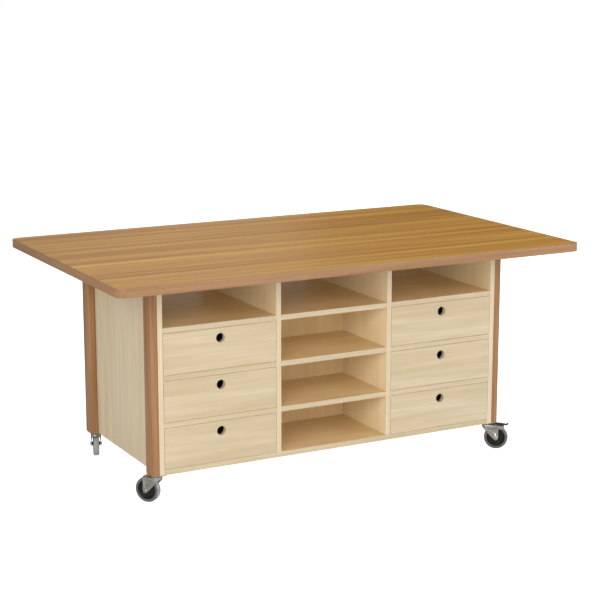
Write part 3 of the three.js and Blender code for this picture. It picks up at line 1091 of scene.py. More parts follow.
    @staticmethod
    def run(piece: bpy.types.Object, tree: bpy.types.NodeTree, smooth: float = 35.0, **values: Any) -> None:
        """Run a tree on a piece, and keep the result as its plain mesh.

        Args:
            piece: The piece whose mesh goes in.
            tree: The tree.
            smooth: Edges that turn less than this many degrees are shaded smooth.
            values: The inputs, by name with a low line in place of a space.
        """
        modifier = piece.modifiers.new(tree.name, "NODES")
        modifier.node_group = tree
        sockets = {item.name: item.identifier for item in tree.interface.items_tree
                   if item.item_type == "SOCKET" and item.in_out == "INPUT"}
        for label, value in values.items():
            modifier[sockets[label.replace("_", " ")]] = value
        plain_mesh(piece, smooth)


# ---------------------------------------------------------------- worktop
@dataclass
class Worktop:
    """The large board and the solid wood lipping round its edge.

    Attributes:
        corner_radius: The radius of the outer corners.
        lipping: The lipping's thickness.
        ease: How far the long edges are rounded.
    """

    corner_radius: float = 38 * MM
    lipping: float = 3 * MM
    ease: float = 0.9 * MM

    def build(self) -> None:
        """Build the board and its lipping."""
        low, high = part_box("worktop")
        outline = rounded_outline(low, high, self.corner_radius - self.lipping, step=6)
        board = piece_from("worktop_board", extruded(outline, low.z, high.z), [WORKTOP_WOOD], smooth=30.0)
        mark_board(board, FirstNumber.WORKTOP)
        ease_edges(board, 0.25 * MM, segments=1)
        settle(board, "root", "worktop_wood", "worktop")
        self.build_lipping()

    def build_lipping(self) -> None:
        """Sweep the lipping's section round the board."""
        low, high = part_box("worktop_lipping")
        size, middle = high - low, (low + high) / 2
        band = linked_object("worktop_edge_band", bpy.data.meshes.new("worktop_edge_band"))
        RepeatTrees.run(band, RepeatTrees.edge_band(), Length=size.x - self.lipping,
                        Depth=size.y - self.lipping, Corner_Radius=self.corner_radius - self.lipping / 2,
                        Thickness=self.lipping, Height=size.z, Ease=self.ease,
                        Place=middle, Material=LIPPING_WOOD.material())
        mark_board(band, FirstNumber.LIPPING)
        settle(band, "root", "lipping_wood", "worktop_lipping")


# ---------------------------------------------------------------- cabinet
@dataclass
class Cabinet:
    """The carcass: side panels, dividers, top and bottom, shelves and partitions.

    Attributes:
        ease: How far the boards' edges are rounded.
        number: The next board's number.
    """

    ease: float = 0.7 * MM
    number: int = field(default=FirstNumber.CABINET, init=False)

    def build(self) -> None:
        """Build every board of the carcass."""
        for node in ("side_left", "side_right", "divider_left", "divider_right"):
            self.board(node, BOARD_UPRIGHT, INSIDE_UPRIGHT_PAINTED_LIGHT, "cabinet_wood")
        for node in ("cabinet_bottom", "cabinet_top"):
            self.board(node, BOARD_LONG, INSIDE_LONG_PAINTED_LIGHT, "cabinet_wood")
        for column in COLUMNS:
            self.board(f"shelf_upper_{column}", BOARD_LONG, INSIDE_LONG_PAINTED_LIGHT, "cabinet_wood")
            self.board(f"partition_{column}", PANEL_UPRIGHT_PAINTED_LIGHT, PANEL_UPRIGHT_PAINTED_LIGHT, "partition_wood")
            for row in (1, 2):
                self.board(f"shelf_front_{column}_{row}", BOARD_LONG, INSIDE_LONG_PAINTED_LIGHT, "cabinet_wood")
        for row in (1, 2):
            self.board(f"shelf_back_middle_{row}", BOARD_LONG, INSIDE_LONG_PAINTED_LIGHT, "cabinet_wood")

    def board(self, node: str, outside: Wood, inside: Wood, slot: str) -> None:
        """Build one board in its node's place, with eased edges.

        Args:
            node: The CAD node that gives its place.
            outside: The finish of its edges and of a face on the cabinet's outside.
            inside: The finish of its faces inside the cabinet, whose paler colours are painted light on these
                shaded faces.
            slot: The record's material slot.
        """
        low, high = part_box(node)
        shape = box_shape(low, high)
        shape.normal_update()
        outermost = {"side_left": -1.0, "side_right": 1.0}.get(node, 0.0)
        for face in shape.faces:
            on_outside = abs(face.normal.y) > 0.5 or face.normal.x * outermost > 0.5
            face.material_index = 0 if on_outside else 1
        board = piece_from(f"{node}_board", shape, [outside, inside])
        mark_board(board, self.number)
        self.number += 1
        ease_edges(board, self.ease)
        settle(board, "root", slot, node)


@dataclass
class CornerPosts:
    """The four solid posts outside the side panels.

    Attributes:
        round_over: The radius of the long edges.
        end_ease: How far the ends are rounded.
    """

    round_over: float = 3 * MM
    end_ease: float = 0.8 * MM

    def build(self) -> None:
        """Build the four posts."""
        places = ("front_left", "front_right", "back_left", "back_right")
        for number, place in enumerate(places, start=FirstNumber.POST):
            low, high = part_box(f"post_{place}")
            outline = rounded_outline(low, high, self.round_over, step=18)
            post = piece_from(f"corner_post_{place}", extruded(outline, low.z, high.z), [POST_WOOD])
            mark_board(post, number)
            ease_edges(post, self.end_ease)
            settle(post, "root", "post_wood", f"post_{place}")


# ---------------------------------------------------------------- drawers
@dataclass
class Drawer:
    """One drawer: its inset front with a finger hole, and the tray behind it.

    Attributes:
        column: The column's name.
        row: The row's number, from 1.
        number: The drawer's number, which moves its wood's pattern.
        hole_radius: The finger hole's radius.
        hole_drop: From the front's upper edge to the hole's centre.
        hole_steps: The number of points round the hole, a multiple of four.
        side: The thickness of the tray's sides and back.
        floor: The thickness of the tray's floor.
        joint: The gap between the tray's boards.
        ease: How far the boards' edges are rounded.
    """

    column: str
    row: int
    number: int
    hole_radius: float = 18 * MM
    hole_drop: float = 39 * MM
    hole_steps: int = 72
    side: float = 12 * MM
    floor: float = 12 * MM
    joint: float = 0.1 * MM
    ease: float = 0.8 * MM

    @property
    def body(self) -> str:
        """Name the CAD body that the drawer rides on.

        Returns:
            The body's name.
        """
        return f"drawer_{self.column}_{self.row}"

    def build(self) -> None:
        """Build the front and the tray."""
        self.build_front()
        self.build_tray()

    def build_front(self) -> None:
        """Build the front, as a plate with a round hole whose rims are eased."""
        node = f"drawer_front_{self.column}_{self.row}"
        low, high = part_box(node)
        middle = Vector(((low.x + high.x) / 2, high.z - self.hole_drop))
        hole, rim = [], []
        for k in range(self.hole_steps):
            angle = 2 * math.pi * k / self.hole_steps
            ray = Vector((math.cos(angle), math.sin(angle)))
            hole.append(middle + ray * self.hole_radius)
            wide = (high.x if ray.x > 0 else low.x) - middle.x
            tall = (high.z if ray.y > 0 else low.z) - middle.y
            rim.append(middle + ray / max(ray.x / wide, ray.y / tall))
        for corner in (Vector((x, z)) for x in (low.x, high.x) for z in (low.z, high.z)):
            nearest = min(range(self.hole_steps), key=lambda k: (rim[k] - corner).length)
            rim[nearest] = corner
        shape = bmesh.new()
        front_hole, front_rim, back_rim, back_hole = (
            [shape.verts.new((p.x, y, p.y)) for p in points]
            for points, y in ((hole, low.y), (rim, low.y), (rim, high.y), (hole, high.y)))
        for one, other in ((front_hole, front_rim), (front_rim, back_rim), (back_rim, back_hole),
                           (back_hole, front_hole)):
            walls(shape, one, other)
        front = piece_from(f"{self.body}_face", shape, [DRAWER_FACE])
        mark_board(front, self.number)
        ease_edges(front, self.ease)
        settle(front, self.body, "drawer_front_wood", node)

    def build_tray(self) -> None:
        """Build the tray's two sides, back and floor as separate boards."""
        node = f"drawer_tray_{self.column}_{self.row}"
        low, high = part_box(node)
        left, right, rear = low.x + self.side, high.x - self.side, high.y - self.side
        gap = self.joint
        boards = {
            "left_side": (low, Vector((left, high.y, high.z)), TRAY_DEEP, PLY_ACROSS_X),
            "right_side": (Vector((right, low.y, low.z)), high, TRAY_DEEP, PLY_ACROSS_X),
            "back": (Vector((left + gap, rear, low.z)), Vector((right - gap, high.y, high.z)),
                     TRAY_LONG, PLY_ACROSS_Y),
            "floor": (Vector((left + gap, low.y, low.z)),
                      Vector((right - gap, rear - gap, low.z + self.floor)), TRAY_LONG, PLY_ACROSS_Y),
        }
        for offset, (label, (start, end, face, edge)) in enumerate(boards.items(), start=1):
            shape = box_shape(start, end)
            for polygon in shape.faces:
                polygon.normal_update()
                if label != "floor" and polygon.normal.z > 0.9:
                    polygon.material_index = 1
            stands_for = (node,) if label == "floor" else ()
            board = piece_from(f"{self.body}_tray_{label}", shape, [face, edge])
            mark_board(board, self.number * 5 + offset)
            ease_edges(board, self.ease)
            settle(board, self.body, "drawer_tray_wood", *stands_for)


# ---------------------------------------------------------------- casters
@dataclass
class Caster:
    """One swivel caster: its plate, ball race, fork, wheel and, on some, its brake.

    Attributes:
        key: The caster's place, such as fl for front left.
        plate_thickness: The mounting plate's thickness.
        plate_corner: The radius of the plate's corners.
        screw_inset: From the plate's edge to a screw's middle.
        ball_radius: The radius of the race's balls.
        ball_circle: The radius of the circle that they run on.
        ball_count: How many there are.
        fork_half_width: From the middle to the fork's outer face.
        steel: The thickness of the fork's sheet.
        back: How far behind the swivel axis the fork's lower edge is measured from.
        tip_radius: The radius of the fork's lower end.
        skirt: The height of its upright rear edge.
        rear_round: The radius of the fork's rear corners.
        rear_reach: From the swivel axis to the rear wall's outer face.
        rear_steps: The number of faces round a rear corner.
        crown_bend: The radius of the bend round the crown.
        bend_steps: The number of faces round that bend.
        bracket_reach: How far the crown reaches ahead of the swivel axis on a caster with a brake.
        panel_depth: How deep the panel in each of the fork's sides is pressed.
        panel_slope: The width of the slope round the panel.
        tyre_width: The tyre's width.
        tyre_depth: From the tread to the hub's rim.
        tread_depth: How far down from the tread its lighter grey goes, painted light on the rolling face.
        hub_half_length: From the hub's middle to its end on the axle.
        wheel_steps: The number of steps round the wheel.
        axle_head: The radius of the axle's heads.
        clearance: Between the tyre and the fork's crown.
        pedal_reach: From the swivel axis to the pedal's pin.
        pedal_rise: From the crown's top to the pin's middle.
        pedal_pin_radius: The pin's radius.
        pedal_half_width: Half the width of the pedal's lever.
        sleeve_radius: The radius of the sleeve round the pin.
        shoe_half_width: Half the width of the brake's shoe.
        contact_gap: Between steel parts that lie on each other.
        running_gap: Between parts that turn on each other.
        king_pin_gap: Between the crown and the king pin's head.
        axle_head_height: How far the axle's heads stand out from the fork.
        sleeve_gap: Between the sleeve's ends and the fork's sides.
        plate_ease: How far the plate's edges are rounded.
        pedal_ease: The same for the pedal's lever.
        shoe_ease: The same for the brake's shoe.
    """

    key: str
    plate_thickness: float = 3 * MM
    plate_corner: float = 5 * MM
    screw_inset: float = 8 * MM
    ball_radius: float = 1.15 * MM
    ball_circle: float = 20.5 * MM
    ball_count: int = 36
    fork_half_width: float = 21 * MM
    steel: float = 2.5 * MM
    back: float = 22 * MM
    tip_radius: float = 12 * MM
    skirt: float = 6.5 * MM
    rear_round: float = 18.5 * MM
    rear_reach: float = 20 * MM
    rear_steps: int = 12
    crown_bend: float = 2.4 * MM
    bend_steps: int = 4
    bracket_reach: float = 27 * MM
    panel_depth: float = 0.8 * MM
    panel_slope: float = 1.4 * MM
    tyre_width: float = 24 * MM
    tyre_depth: float = 11.5 * MM
    tread_depth: float = 1.6 * MM
    hub_half_length: float = 17 * MM
    wheel_steps: int = 96
    axle_head: float = 6.5 * MM
    clearance: float = 3 * MM
    pedal_reach: float = 33 * MM
    pedal_rise: float = 1.5 * MM
    pedal_pin_radius: float = 1.8 * MM
    pedal_half_width: float = 8.5 * MM
    sleeve_radius: float = 3.1 * MM
    shoe_half_width: float = 9 * MM
    contact_gap: float = 0.05 * MM
    running_gap: float = 0.1 * MM
    king_pin_gap: float = 0.3 * MM
    axle_head_height: float = 3.5 * MM
    sleeve_gap: float = 1.5 * MM
    plate_ease: float = 0.5 * MM
    pedal_ease: float = 0.8 * MM
    shoe_ease: float = 0.4 * MM

    def __post_init__(self) -> None:
        """Read the caster's place and heading from the frame's joints."""
        joints = {joint["name"]: joint for joint in frame["joints"]}
        swivel = joints[f"caster_{self.key}_swivel"]
        spin = joints[f"wheel_{self.key}_spin"]
        axis, wheel = Vector(swivel["pos_m"]), Vector(spin["pos_m"])
        self.wheel_radius = wheel.z
        self.trail = (wheel.xy - axis.xy).length
        self.braked = f"pedal_{self.key}_press" in joints
        self.crown_top = 2 * self.wheel_radius + self.clearance + self.steel
        heading = math.atan2(-spin["axis"][0], spin["axis"][1])
        self.place = Matrix.Translation((axis.x, axis.y, 0)) @ Matrix.Rotation(heading, 4, "Z")
        self.upright = Matrix.Translation((axis.x, axis.y, 0))
        self.wheel_place = self.place @ Matrix.Translation((self.trail, 0, self.wheel_radius))

    def build(self) -> None:
        """Build every piece of the caster."""
        self.build_mount()
        self.build_fork()
        self.build_wheel()
        if self.braked:
            self.build_brake()

    def build_mount(self) -> None:
        """Build the plate with its screws, the upper race, the ball race and the king pin."""
        node = f"caster_mount_{self.key}"
        low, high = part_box(node)
        plate_under = high.z - self.plate_thickness
        outline = rounded_outline(low, high, self.plate_corner, step=15)
        plate = piece_from(f"caster_plate_{self.key}", extruded(outline, plate_under, high.z), [ZINC])
        ease_edges(plate, self.plate_ease)
        settle(plate, "root", "caster_steel", node)

        # the cup that holds the balls, and the king pin with its head under the crown
        top = plate_under - self.contact_gap
        crown_under = self.crown_top - self.steel - self.king_pin_gap
        cup = fillet([(0, top, 0), (24 * MM, top, 0), (24 * MM, top - 2.6 * MM, 1.4 * MM),
                      (21.4 * MM, top - 3.6 * MM, 0.6 * MM), (17 * MM, top - 3.4 * MM, 0.6 * MM),
                      (14 * MM, top - 1.2 * MM, 1 * MM), (8 * MM, top - 1.2 * MM, 0.5 * MM),
                      (5 * MM, top - 3 * MM, 0.5 * MM), (5 * MM, crown_under, 0),
                      (9 * MM, crown_under, 0.3 * MM), (9 * MM, low.z + 1.2 * MM, 1.5 * MM),
                      (5 * MM, low.z, 1.5 * MM), (0, low.z, 0)], closed=False)
        stem = piece_from(f"caster_king_pin_{self.key}", turned(cup, 64), [BRIGHT_STEEL],
                          self.upright @ SIDEWAYS)
        settle(stem, "root", "caster_steel")
        self.build_screws(plate_under, low, high)
        self.build_ball_race()

    def build_screws(self, plate_under: float, low: Vector, high: Vector) -> None:
        """Set four countersunk screw heads in the plate's underside.

        Args:
            plate_under: The height of the plate's underside.
            low: The mount's lowest corner.
            high: The mount's highest corner.
        """
        middle = (low + high) / 2
        heads = screw_head(f"caster_screws_{self.key}", radius=3.6 * MM, proud=0.35 * MM)
        span = high.x - low.x - 2 * self.screw_inset
        RepeatTrees.run(heads, RepeatTrees.grid_of_copies(), Count_Across=2, Count_Along=2,
                        Span_Across=span, Span_Along=span, Turn=Euler((math.pi, 0, 0)),
                        Place=Vector((middle.x, middle.y, plate_under)), Material=BRIGHT_STEEL.material())
        settle(heads, "root", "caster_steel")

    def build_ball_race(self) -> None:
        """Set the race's balls out on a circle over the fork's crown."""
        shape = bmesh.new()
        bmesh.ops.create_icosphere(shape, subdivisions=2, radius=self.ball_radius)
        balls = piece_from(f"caster_balls_{self.key}", shape, [BRIGHT_STEEL])
        height = self.crown_top + self.running_gap + self.ball_radius
        centre = self.upright.translation + Vector((0, 0, height))
        RepeatTrees.run(balls, RepeatTrees.ring_of_copies(), smooth=60.0, Count=self.ball_count,
                        Radius=self.ball_circle, Place=centre, Material=BRIGHT_STEEL.material())
        settle(balls, f"caster_{self.key}", "caster_steel")

    def fork_slope(self) -> tuple[float, float]:
        """Give where the fork's lower edge starts behind the swivel, and how it falls forwards.

        Returns:
            The height at the rear, and the change in height for each metre forwards.
        """
        rear, skirt = self.fork_rear, self.crown_top - self.skirt
        ahead, down = self.trail - rear, self.wheel_radius - skirt
        tip = self.tip_radius - self.steel / 2
        return skirt, math.tan(math.atan2(down, ahead) - math.asin(tip / math.hypot(ahead, down)))

    @property
    def fork_rear(self) -> float:
        """Give the place behind the swivel axis that the fork's lower edge falls from.

        Returns:
            Its distance along the caster's heading, which is negative.
        """
        return -self.back + self.steel / 2

    def side_outline(self, start: float, top: float) -> list[Point]:
        """Give the outline of a fork's side, from its lower edge round the tip to the crown.

        Args:
            start: Where the flat side starts.
            top: The height at which it meets the crown's bend.

        Returns:
            The points in x and z, without the two that the crown's bend already has.
        """
        skirt, fall = self.fork_slope()
        tip = self.tip_radius - self.steel / 2
        edge = self.trail + tip
        crown = self.crown_top - self.steel / 2
        corners = [(start, skirt + fall * (start - self.fork_rear), 0),
                   (edge, skirt + fall * (edge - self.fork_rear), tip)]
        if self.braked:
            # the bracket that carries the brake, ahead of the wheel's axle
            corners += [(edge, crown - 19 * MM, 3 * MM), (edge + 5 * MM, crown - 14.5 * MM, 3 * MM),
                        (edge + 22 * MM, crown - 17 * MM, 3 * MM), (edge + 25 * MM, crown - 3 * MM, 4 * MM),
                        (edge - 10 * MM, crown - 0.5 * MM, 6 * MM)]
        return fillet([*corners, (self.crown_reach, top, 0)], closed=False)[:-1]

    @property
    def crown_reach(self) -> float:
        """Give how far the crown reaches ahead of the swivel axis.

        Returns:
            The distance to the crown's front edge.
        """
        return self.bracket_reach if self.braked else self.trail + self.tip_radius - self.steel / 2

    def crown_path(self) -> list[tuple[Vector, Vector]]:
        """Give the bend line round the crown, from one side's front round the back to the other's.

        Returns:
            The points in plan, each with its outward direction.
        """
        half_width = self.fork_half_width - self.steel / 2
        centre = Vector((self.rear_round - self.rear_reach + self.steel / 2, self.rear_round - half_width))
        side = [(Vector((self.crown_reach, -half_width)), Vector((0.0, -1.0)))]
        for k in range(self.rear_steps + 1):
            angle = math.pi / 2 * k / self.rear_steps
            outwards = Vector((-math.sin(angle), -math.cos(angle)))
            side.append((centre + outwards * self.rear_round, outwards))
        other = [(Vector((p.x, -p.y)), Vector((n.x, -n.y))) for p, n in reversed(side)]
        return side + other

    def build_fork(self) -> None:
        """Build the fork as one pressed sheet, with a round back and a shallow panel on each side."""
        crown, bend = self.crown_top - self.steel / 2, self.crown_bend
        path = self.crown_path()
        shape = bmesh.new()
        rings = []
        for j in range(self.bend_steps + 1):
            angle = math.pi / 2 * j / self.bend_steps
            inset, z = bend * (1 - math.cos(angle)), crown - bend + bend * math.sin(angle)
            rings.append([shape.verts.new((*(p - n * inset), z)) for p, n in path])
        for one, other in zip(rings, rings[1:]):
            for k in range(len(path) - 1):
                shape.faces.new((one[k], one[k + 1], other[k + 1], other[k]))
        shape.faces.new(rings[-1])

        skirt, fall = self.fork_slope()
        edge = rings[0]
        lowest = [shape.verts.new((*p, skirt + fall * (p.x - self.fork_rear))) for p, _ in path[1:-1]]
        for k, (one, other) in enumerate(zip(lowest, lowest[1:]), start=1):
            shape.faces.new((edge[k], edge[k + 1], other, one))
        outline = self.side_outline(path[1][0].x, crown - bend)[1:]
        for front, turn, low in ((edge[0], edge[1], lowest[0]), (edge[-1], edge[-2], lowest[-1])):
            ahead = [shape.verts.new((x, front.co.y, z)) for x, z in outline]
            self.fill_side(shape, [turn, low, *ahead, front])
        fork = piece_from(f"caster_fork_{self.key}_pressing", shape, [ZINC], self.place)
        solid = fork.modifiers.new("sheet", "SOLIDIFY")
        solid.thickness = self.steel
        solid.offset = 0.0
        plain_mesh(fork)
        settle(fork, f"caster_{self.key}", "caster_steel", f"caster_fork_{self.key}")

    def fill_side(self, shape: bmesh.types.BMesh, ring: Sequence[bmesh.types.BMVert]) -> None:
        """Fill one side of the fork round its pressed panel.

        Args:
            shape: The fork's mesh.
            ring: The side's outline.
        """
        y = ring[0].co.y
        sunk = y - math.copysign(self.panel_depth, y)
        top = self.crown_top - 13 * MM
        panel = fillet([(1 * MM, top, 4 * MM), (self.trail + 1 * MM, self.wheel_radius + 9 * MM, 4 * MM),
                        (self.trail + 7 * MM, top, 4 * MM)])
        middle = sum((Vector(p) for p in panel), Vector((0, 0))) / len(panel)
        rim = [shape.verts.new((px, y, pz)) for px, pz in panel]
        drawn = [Vector(p) + (middle - Vector(p)).normalized() * self.panel_slope for p in panel]
        floor = [shape.verts.new((p.x, sunk, p.y)) for p in drawn]
        fill_between(shape, ring, rim)
        walls(shape, rim, floor)
        shape.faces.new(floor)

    def build_wheel(self) -> None:
        """Build the tyre, the hub, its bearing covers and the axle."""
        radius, half = self.wheel_radius, self.tyre_width / 2
        seat = radius - self.tyre_depth
        side = [(seat, half - 0.5 * MM, 0.6 * MM), (seat + 2 * MM, half - 0.1 * MM, 0.5 * MM),
                (seat + 2.6 * MM, half - 0.6 * MM, 0.4 * MM), (radius - 5 * MM, half, 2 * MM),
                (radius - 0.8 * MM, half - 2 * MM, 3 * MM), (radius, half - 7 * MM, 6 * MM)]
        shape = turned(fillet(both_sides(side)), self.wheel_steps)
        # Faces near the tread take the lighter grey, painted light on the rolling face.
        for face in shape.faces:
            middle = face.calc_center_median()
            painted_lit = math.hypot(middle.x, middle.z) > radius - self.tread_depth
            face.material_index = 1 if painted_lit else 0
        tyre = piece_from(f"caster_tyre_{self.key}_rubber", shape, [TYRE_RUBBER, TYRE_TREAD_PAINTED_LIGHT],
                          self.wheel_place)
        settle(tyre, f"wheel_{self.key}", "tyre_rubber", f"caster_tyre_{self.key}")

        rim, end = seat - 0.3 * MM, self.hub_half_length
        dish = in_millimetres((9.4, 12, 1.2), (13.5, 7.6, 2), (19, 6.6, 0.8),
                              (19.8, 7.6, 0.5), (21.4, 7.6, 0.5), (22.2, 6.6, 0.8),
                              (25.6, 6.6, 0.6), (26.2, 7.5, 0.5), (27.4, 7.5, 0.5), (28, 6.6, 0.6))
        side = [(4.3 * MM, end, 0.3 * MM), (8.6 * MM, end, 1 * MM), *dish,
                (rim - 6.5 * MM, 6.4 * MM, 1.6 * MM), (rim - 3.4 * MM, 10.9 * MM, 0.9 * MM),
                (rim, 10.9 * MM, 0.4 * MM)]
        shape = turned(fillet(both_sides(side)), self.wheel_steps)
        hub = piece_from(f"caster_hub_{self.key}_moulding", shape, [HUB_PLASTIC], self.wheel_place)
        settle(hub, f"wheel_{self.key}", "hub_plastic", f"caster_hub_{self.key}")
        self.build_axle()

    def build_axle(self) -> None:
        """Build the axle: a rod with a round head on each of the fork's sides."""
        face = self.fork_half_width + self.contact_gap
        end = self.fork_half_width + self.axle_head_height
        head = self.axle_head
        half = [(0, end, 0), (head - 2.3 * MM, end, 2.2 * MM), (head - 0.5 * MM, face + 1.4 * MM, 0.8 * MM),
                (head, face + 0.9 * MM, 0.3 * MM), (head, face, 0), (3.9 * MM, face, 0)]
        axle = piece_from(f"caster_axle_{self.key}_rod", turned(fillet(both_sides(half), closed=False), 40),
                          [BRIGHT_STEEL], self.wheel_place)
        settle(axle, f"caster_{self.key}", "caster_steel", f"caster_axle_{self.key}")

    def build_brake(self) -> None:
        """Build the brake's pedal with its upturned toe, its pin, the sleeve on the pin and its shoe."""
        body, node = f"pedal_{self.key}", f"brake_pedal_{self.key}"
        pin_place = self.place @ Matrix.Translation((self.pedal_reach, 0, self.crown_top + self.pedal_rise))
        arm = fillet(in_millimetres((-3.1, 2.4, 0.5), (-1.5, 3.2, 0.8), (24, 2.9, 60), (49.5, -0.9, 1.5),
                                    (56.8, 5.5, 0.9), (59.6, 4.2, 0.9), (53.2, -4.4, 4), (24, -0.6, 60),
                                    (0, -0.2, 1), (-3.1, 0, 0.5)))
        pedal = piece_from(f"{node}_lever", extruded(arm, -self.pedal_half_width, self.pedal_half_width),
                           [PEDAL_PLASTIC], pin_place @ SIDEWAYS)
        ease_edges(pedal, self.pedal_ease)
        settle(pedal, body, "pedal_plastic", node)

        end = self.fork_half_width
        half = [(0, end, 0), (self.pedal_pin_radius, end, 0.5 * MM)]
        rod = turned(fillet(both_sides(half), closed=False), 32)
        pin = piece_from(f"brake_pin_{self.key}", rod, [BRIGHT_STEEL], pin_place)
        settle(pin, body, "caster_steel")

        end = self.fork_half_width - self.steel - self.sleeve_gap
        bore = self.pedal_pin_radius + self.running_gap
        tube = turned(fillet(both_sides([(bore, end, 0), (self.sleeve_radius, end, 0.6 * MM)])), 32)
        sleeve = piece_from(f"brake_sleeve_{self.key}", tube, [PEDAL_PLASTIC], pin_place)
        settle(sleeve, body, "pedal_plastic")

        shoe = fillet(in_millimetres((23, -0.8, 0), (31, -1.4, 0), (30.4, -4.2, 1), (27, -4.8, 8),
                                     (23.6, -4, 1)))
        shape = extruded(shoe, -self.shoe_half_width, self.shoe_half_width)
        pad = piece_from(f"brake_shoe_{self.key}", shape, [PEDAL_PLASTIC], pin_place @ SIDEWAYS)
        ease_edges(pad, self.shoe_ease)
        settle(pad, body, "pedal_plastic")


def screw_head(name: str, radius: float, proud: float) -> bpy.types.Object:
    """Make one countersunk screw head, with a cross recess, looking along +Z from z = 0.

    Args:
        name: The piece's name.
        radius: The head's radius.
        proud: How far its middle stands above the surface.

    Returns:
        The head, ready to be copied by a tree.
    """
    steps = 24
    slot_half, slot_reach, slot_depth = radius * 0.13, radius * 0.58, radius * 0.35
    circle = [(radius * math.cos(2 * math.pi * k / steps), radius * math.sin(2 * math.pi * k / steps))
              for k in range(steps)]
    cross = [Matrix.Rotation(quarter * math.pi / 2, 2) @ Vector(point) for quarter in range(4)
             for point in ((slot_reach, -slot_half), (slot_reach, slot_half), (slot_half, slot_half))]
    shape = bmesh.new()
    ring, top, recess, floor, base = (
        [shape.verts.new((x * taper, y * taper, z)) for x, y in points]
        for points, taper, z in ((circle, 1.0, 0.0), (circle, 0.9, proud), (cross, 1.0, proud),
                                 (cross, 0.8, proud - slot_depth), (circle, 0.6, -radius * 0.45)))
    fill_between(shape, top, recess)
    for one, other in ((ring, top), (base, ring), (recess, floor)):
        walls(shape, one, other)
    shape.faces.new(floor)
    shape.faces.new(base)
    return piece_from(name, shape, [BRIGHT_STEEL])


# ---------------------------------------------------------------- fixings
@dataclass
class Fixings:
    """The screws that hold the worktop and the posts to the carcass.

    Attributes:
        radius: A head's radius.
        proud: How far a head stands above the surface.
        across_share: How much of a column's width a row of worktop screws takes.
        along_share: How much of a board's length a row of screws takes.
    """

    radius: float = 4 * MM
    proud: float = 0.3 * MM
    across_share: float = 0.7
    along_share: float = 0.8

    def build(self) -> None:
        """Build the rows of screws under the carcass's top and inside its side panels."""
        low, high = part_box("cabinet_top")
        for column in COLUMNS:
            left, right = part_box(f"shelf_upper_{column}")
            middle = Vector(((left.x + right.x) / 2, 0, low.z))
            self.rows(f"worktop_screws_{column}", 2, 3, (right.x - left.x) * self.across_share,
                      (high.y - low.y) * self.along_share, Euler((math.pi, 0, 0)), middle)
        for side, sign in (("left", -1), ("right", 1)):
            low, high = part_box(f"side_{side}")
            post, post_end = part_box(f"post_back_{side}")
            face = high.x if sign < 0 else low.x
            reach = (high.z - low.z) * self.along_share
            place = Vector((face, (post.y + post_end.y) / 2, (low.z + high.z) / 2))
            self.rows(f"post_screws_{side}", 5, 1, reach, 0.0, Euler((0, -sign * math.pi / 2, 0)), place)

    def rows(self, name: str, across: int, along: int, span_across: float, span_along: float,
             turn: Euler, place: Vector) -> None:
        """Set rows of screw heads out on a surface.

        Args:
            name: The piece's name.
            across: The number of heads across.
            along: The number of heads along.
            span_across: From the first head across to the last.
            span_along: From the first head along to the last.
            turn: The turn that brings +Z onto the surface's outward direction.
            place: The middle of the rows.
        """
        heads = screw_head(name, self.radius, self.proud)
        RepeatTrees.run(heads, RepeatTrees.grid_of_copies(), Count_Across=across, Count_Along=along,
                        Span_Across=span_across, Span_Along=span_along, Turn=turn, Place=place,
                        Material=BRIGHT_STEEL.material())
        settle(heads, "root", "caster_steel")


# ---------------------------------------------------------------- studio
@dataclass
class Softbox:
    """One large soft light.

    Attributes:
        name: The light's name.
        place: Where it stands.
        aim: What it looks at.
        size: Its width and height.
        power: Its power in watts.
        tint: Its colour.
    """

    name: str
    place: tuple[float, float, float]
    aim: tuple[float, float, float]
    size: Point
    power: float
    tint: tuple[float, float, float] = (1.0, 1.0, 1.0)

    def build(self) -> None:
        """Hang the light and turn it to what it looks at."""
        lamp = bpy.data.lights.new(self.name, "AREA")
        lamp.shape = "RECTANGLE"
        lamp.size, lamp.size_y = self.size
        lamp.energy = self.power
        lamp.color = self.tint
        holder = linked_object(self.name, lamp)
        holder.location = self.place
        holder.rotation_euler = (Vector(self.aim) - Vector(self.place)).to_track_quat("-Z", "Y").to_euler()


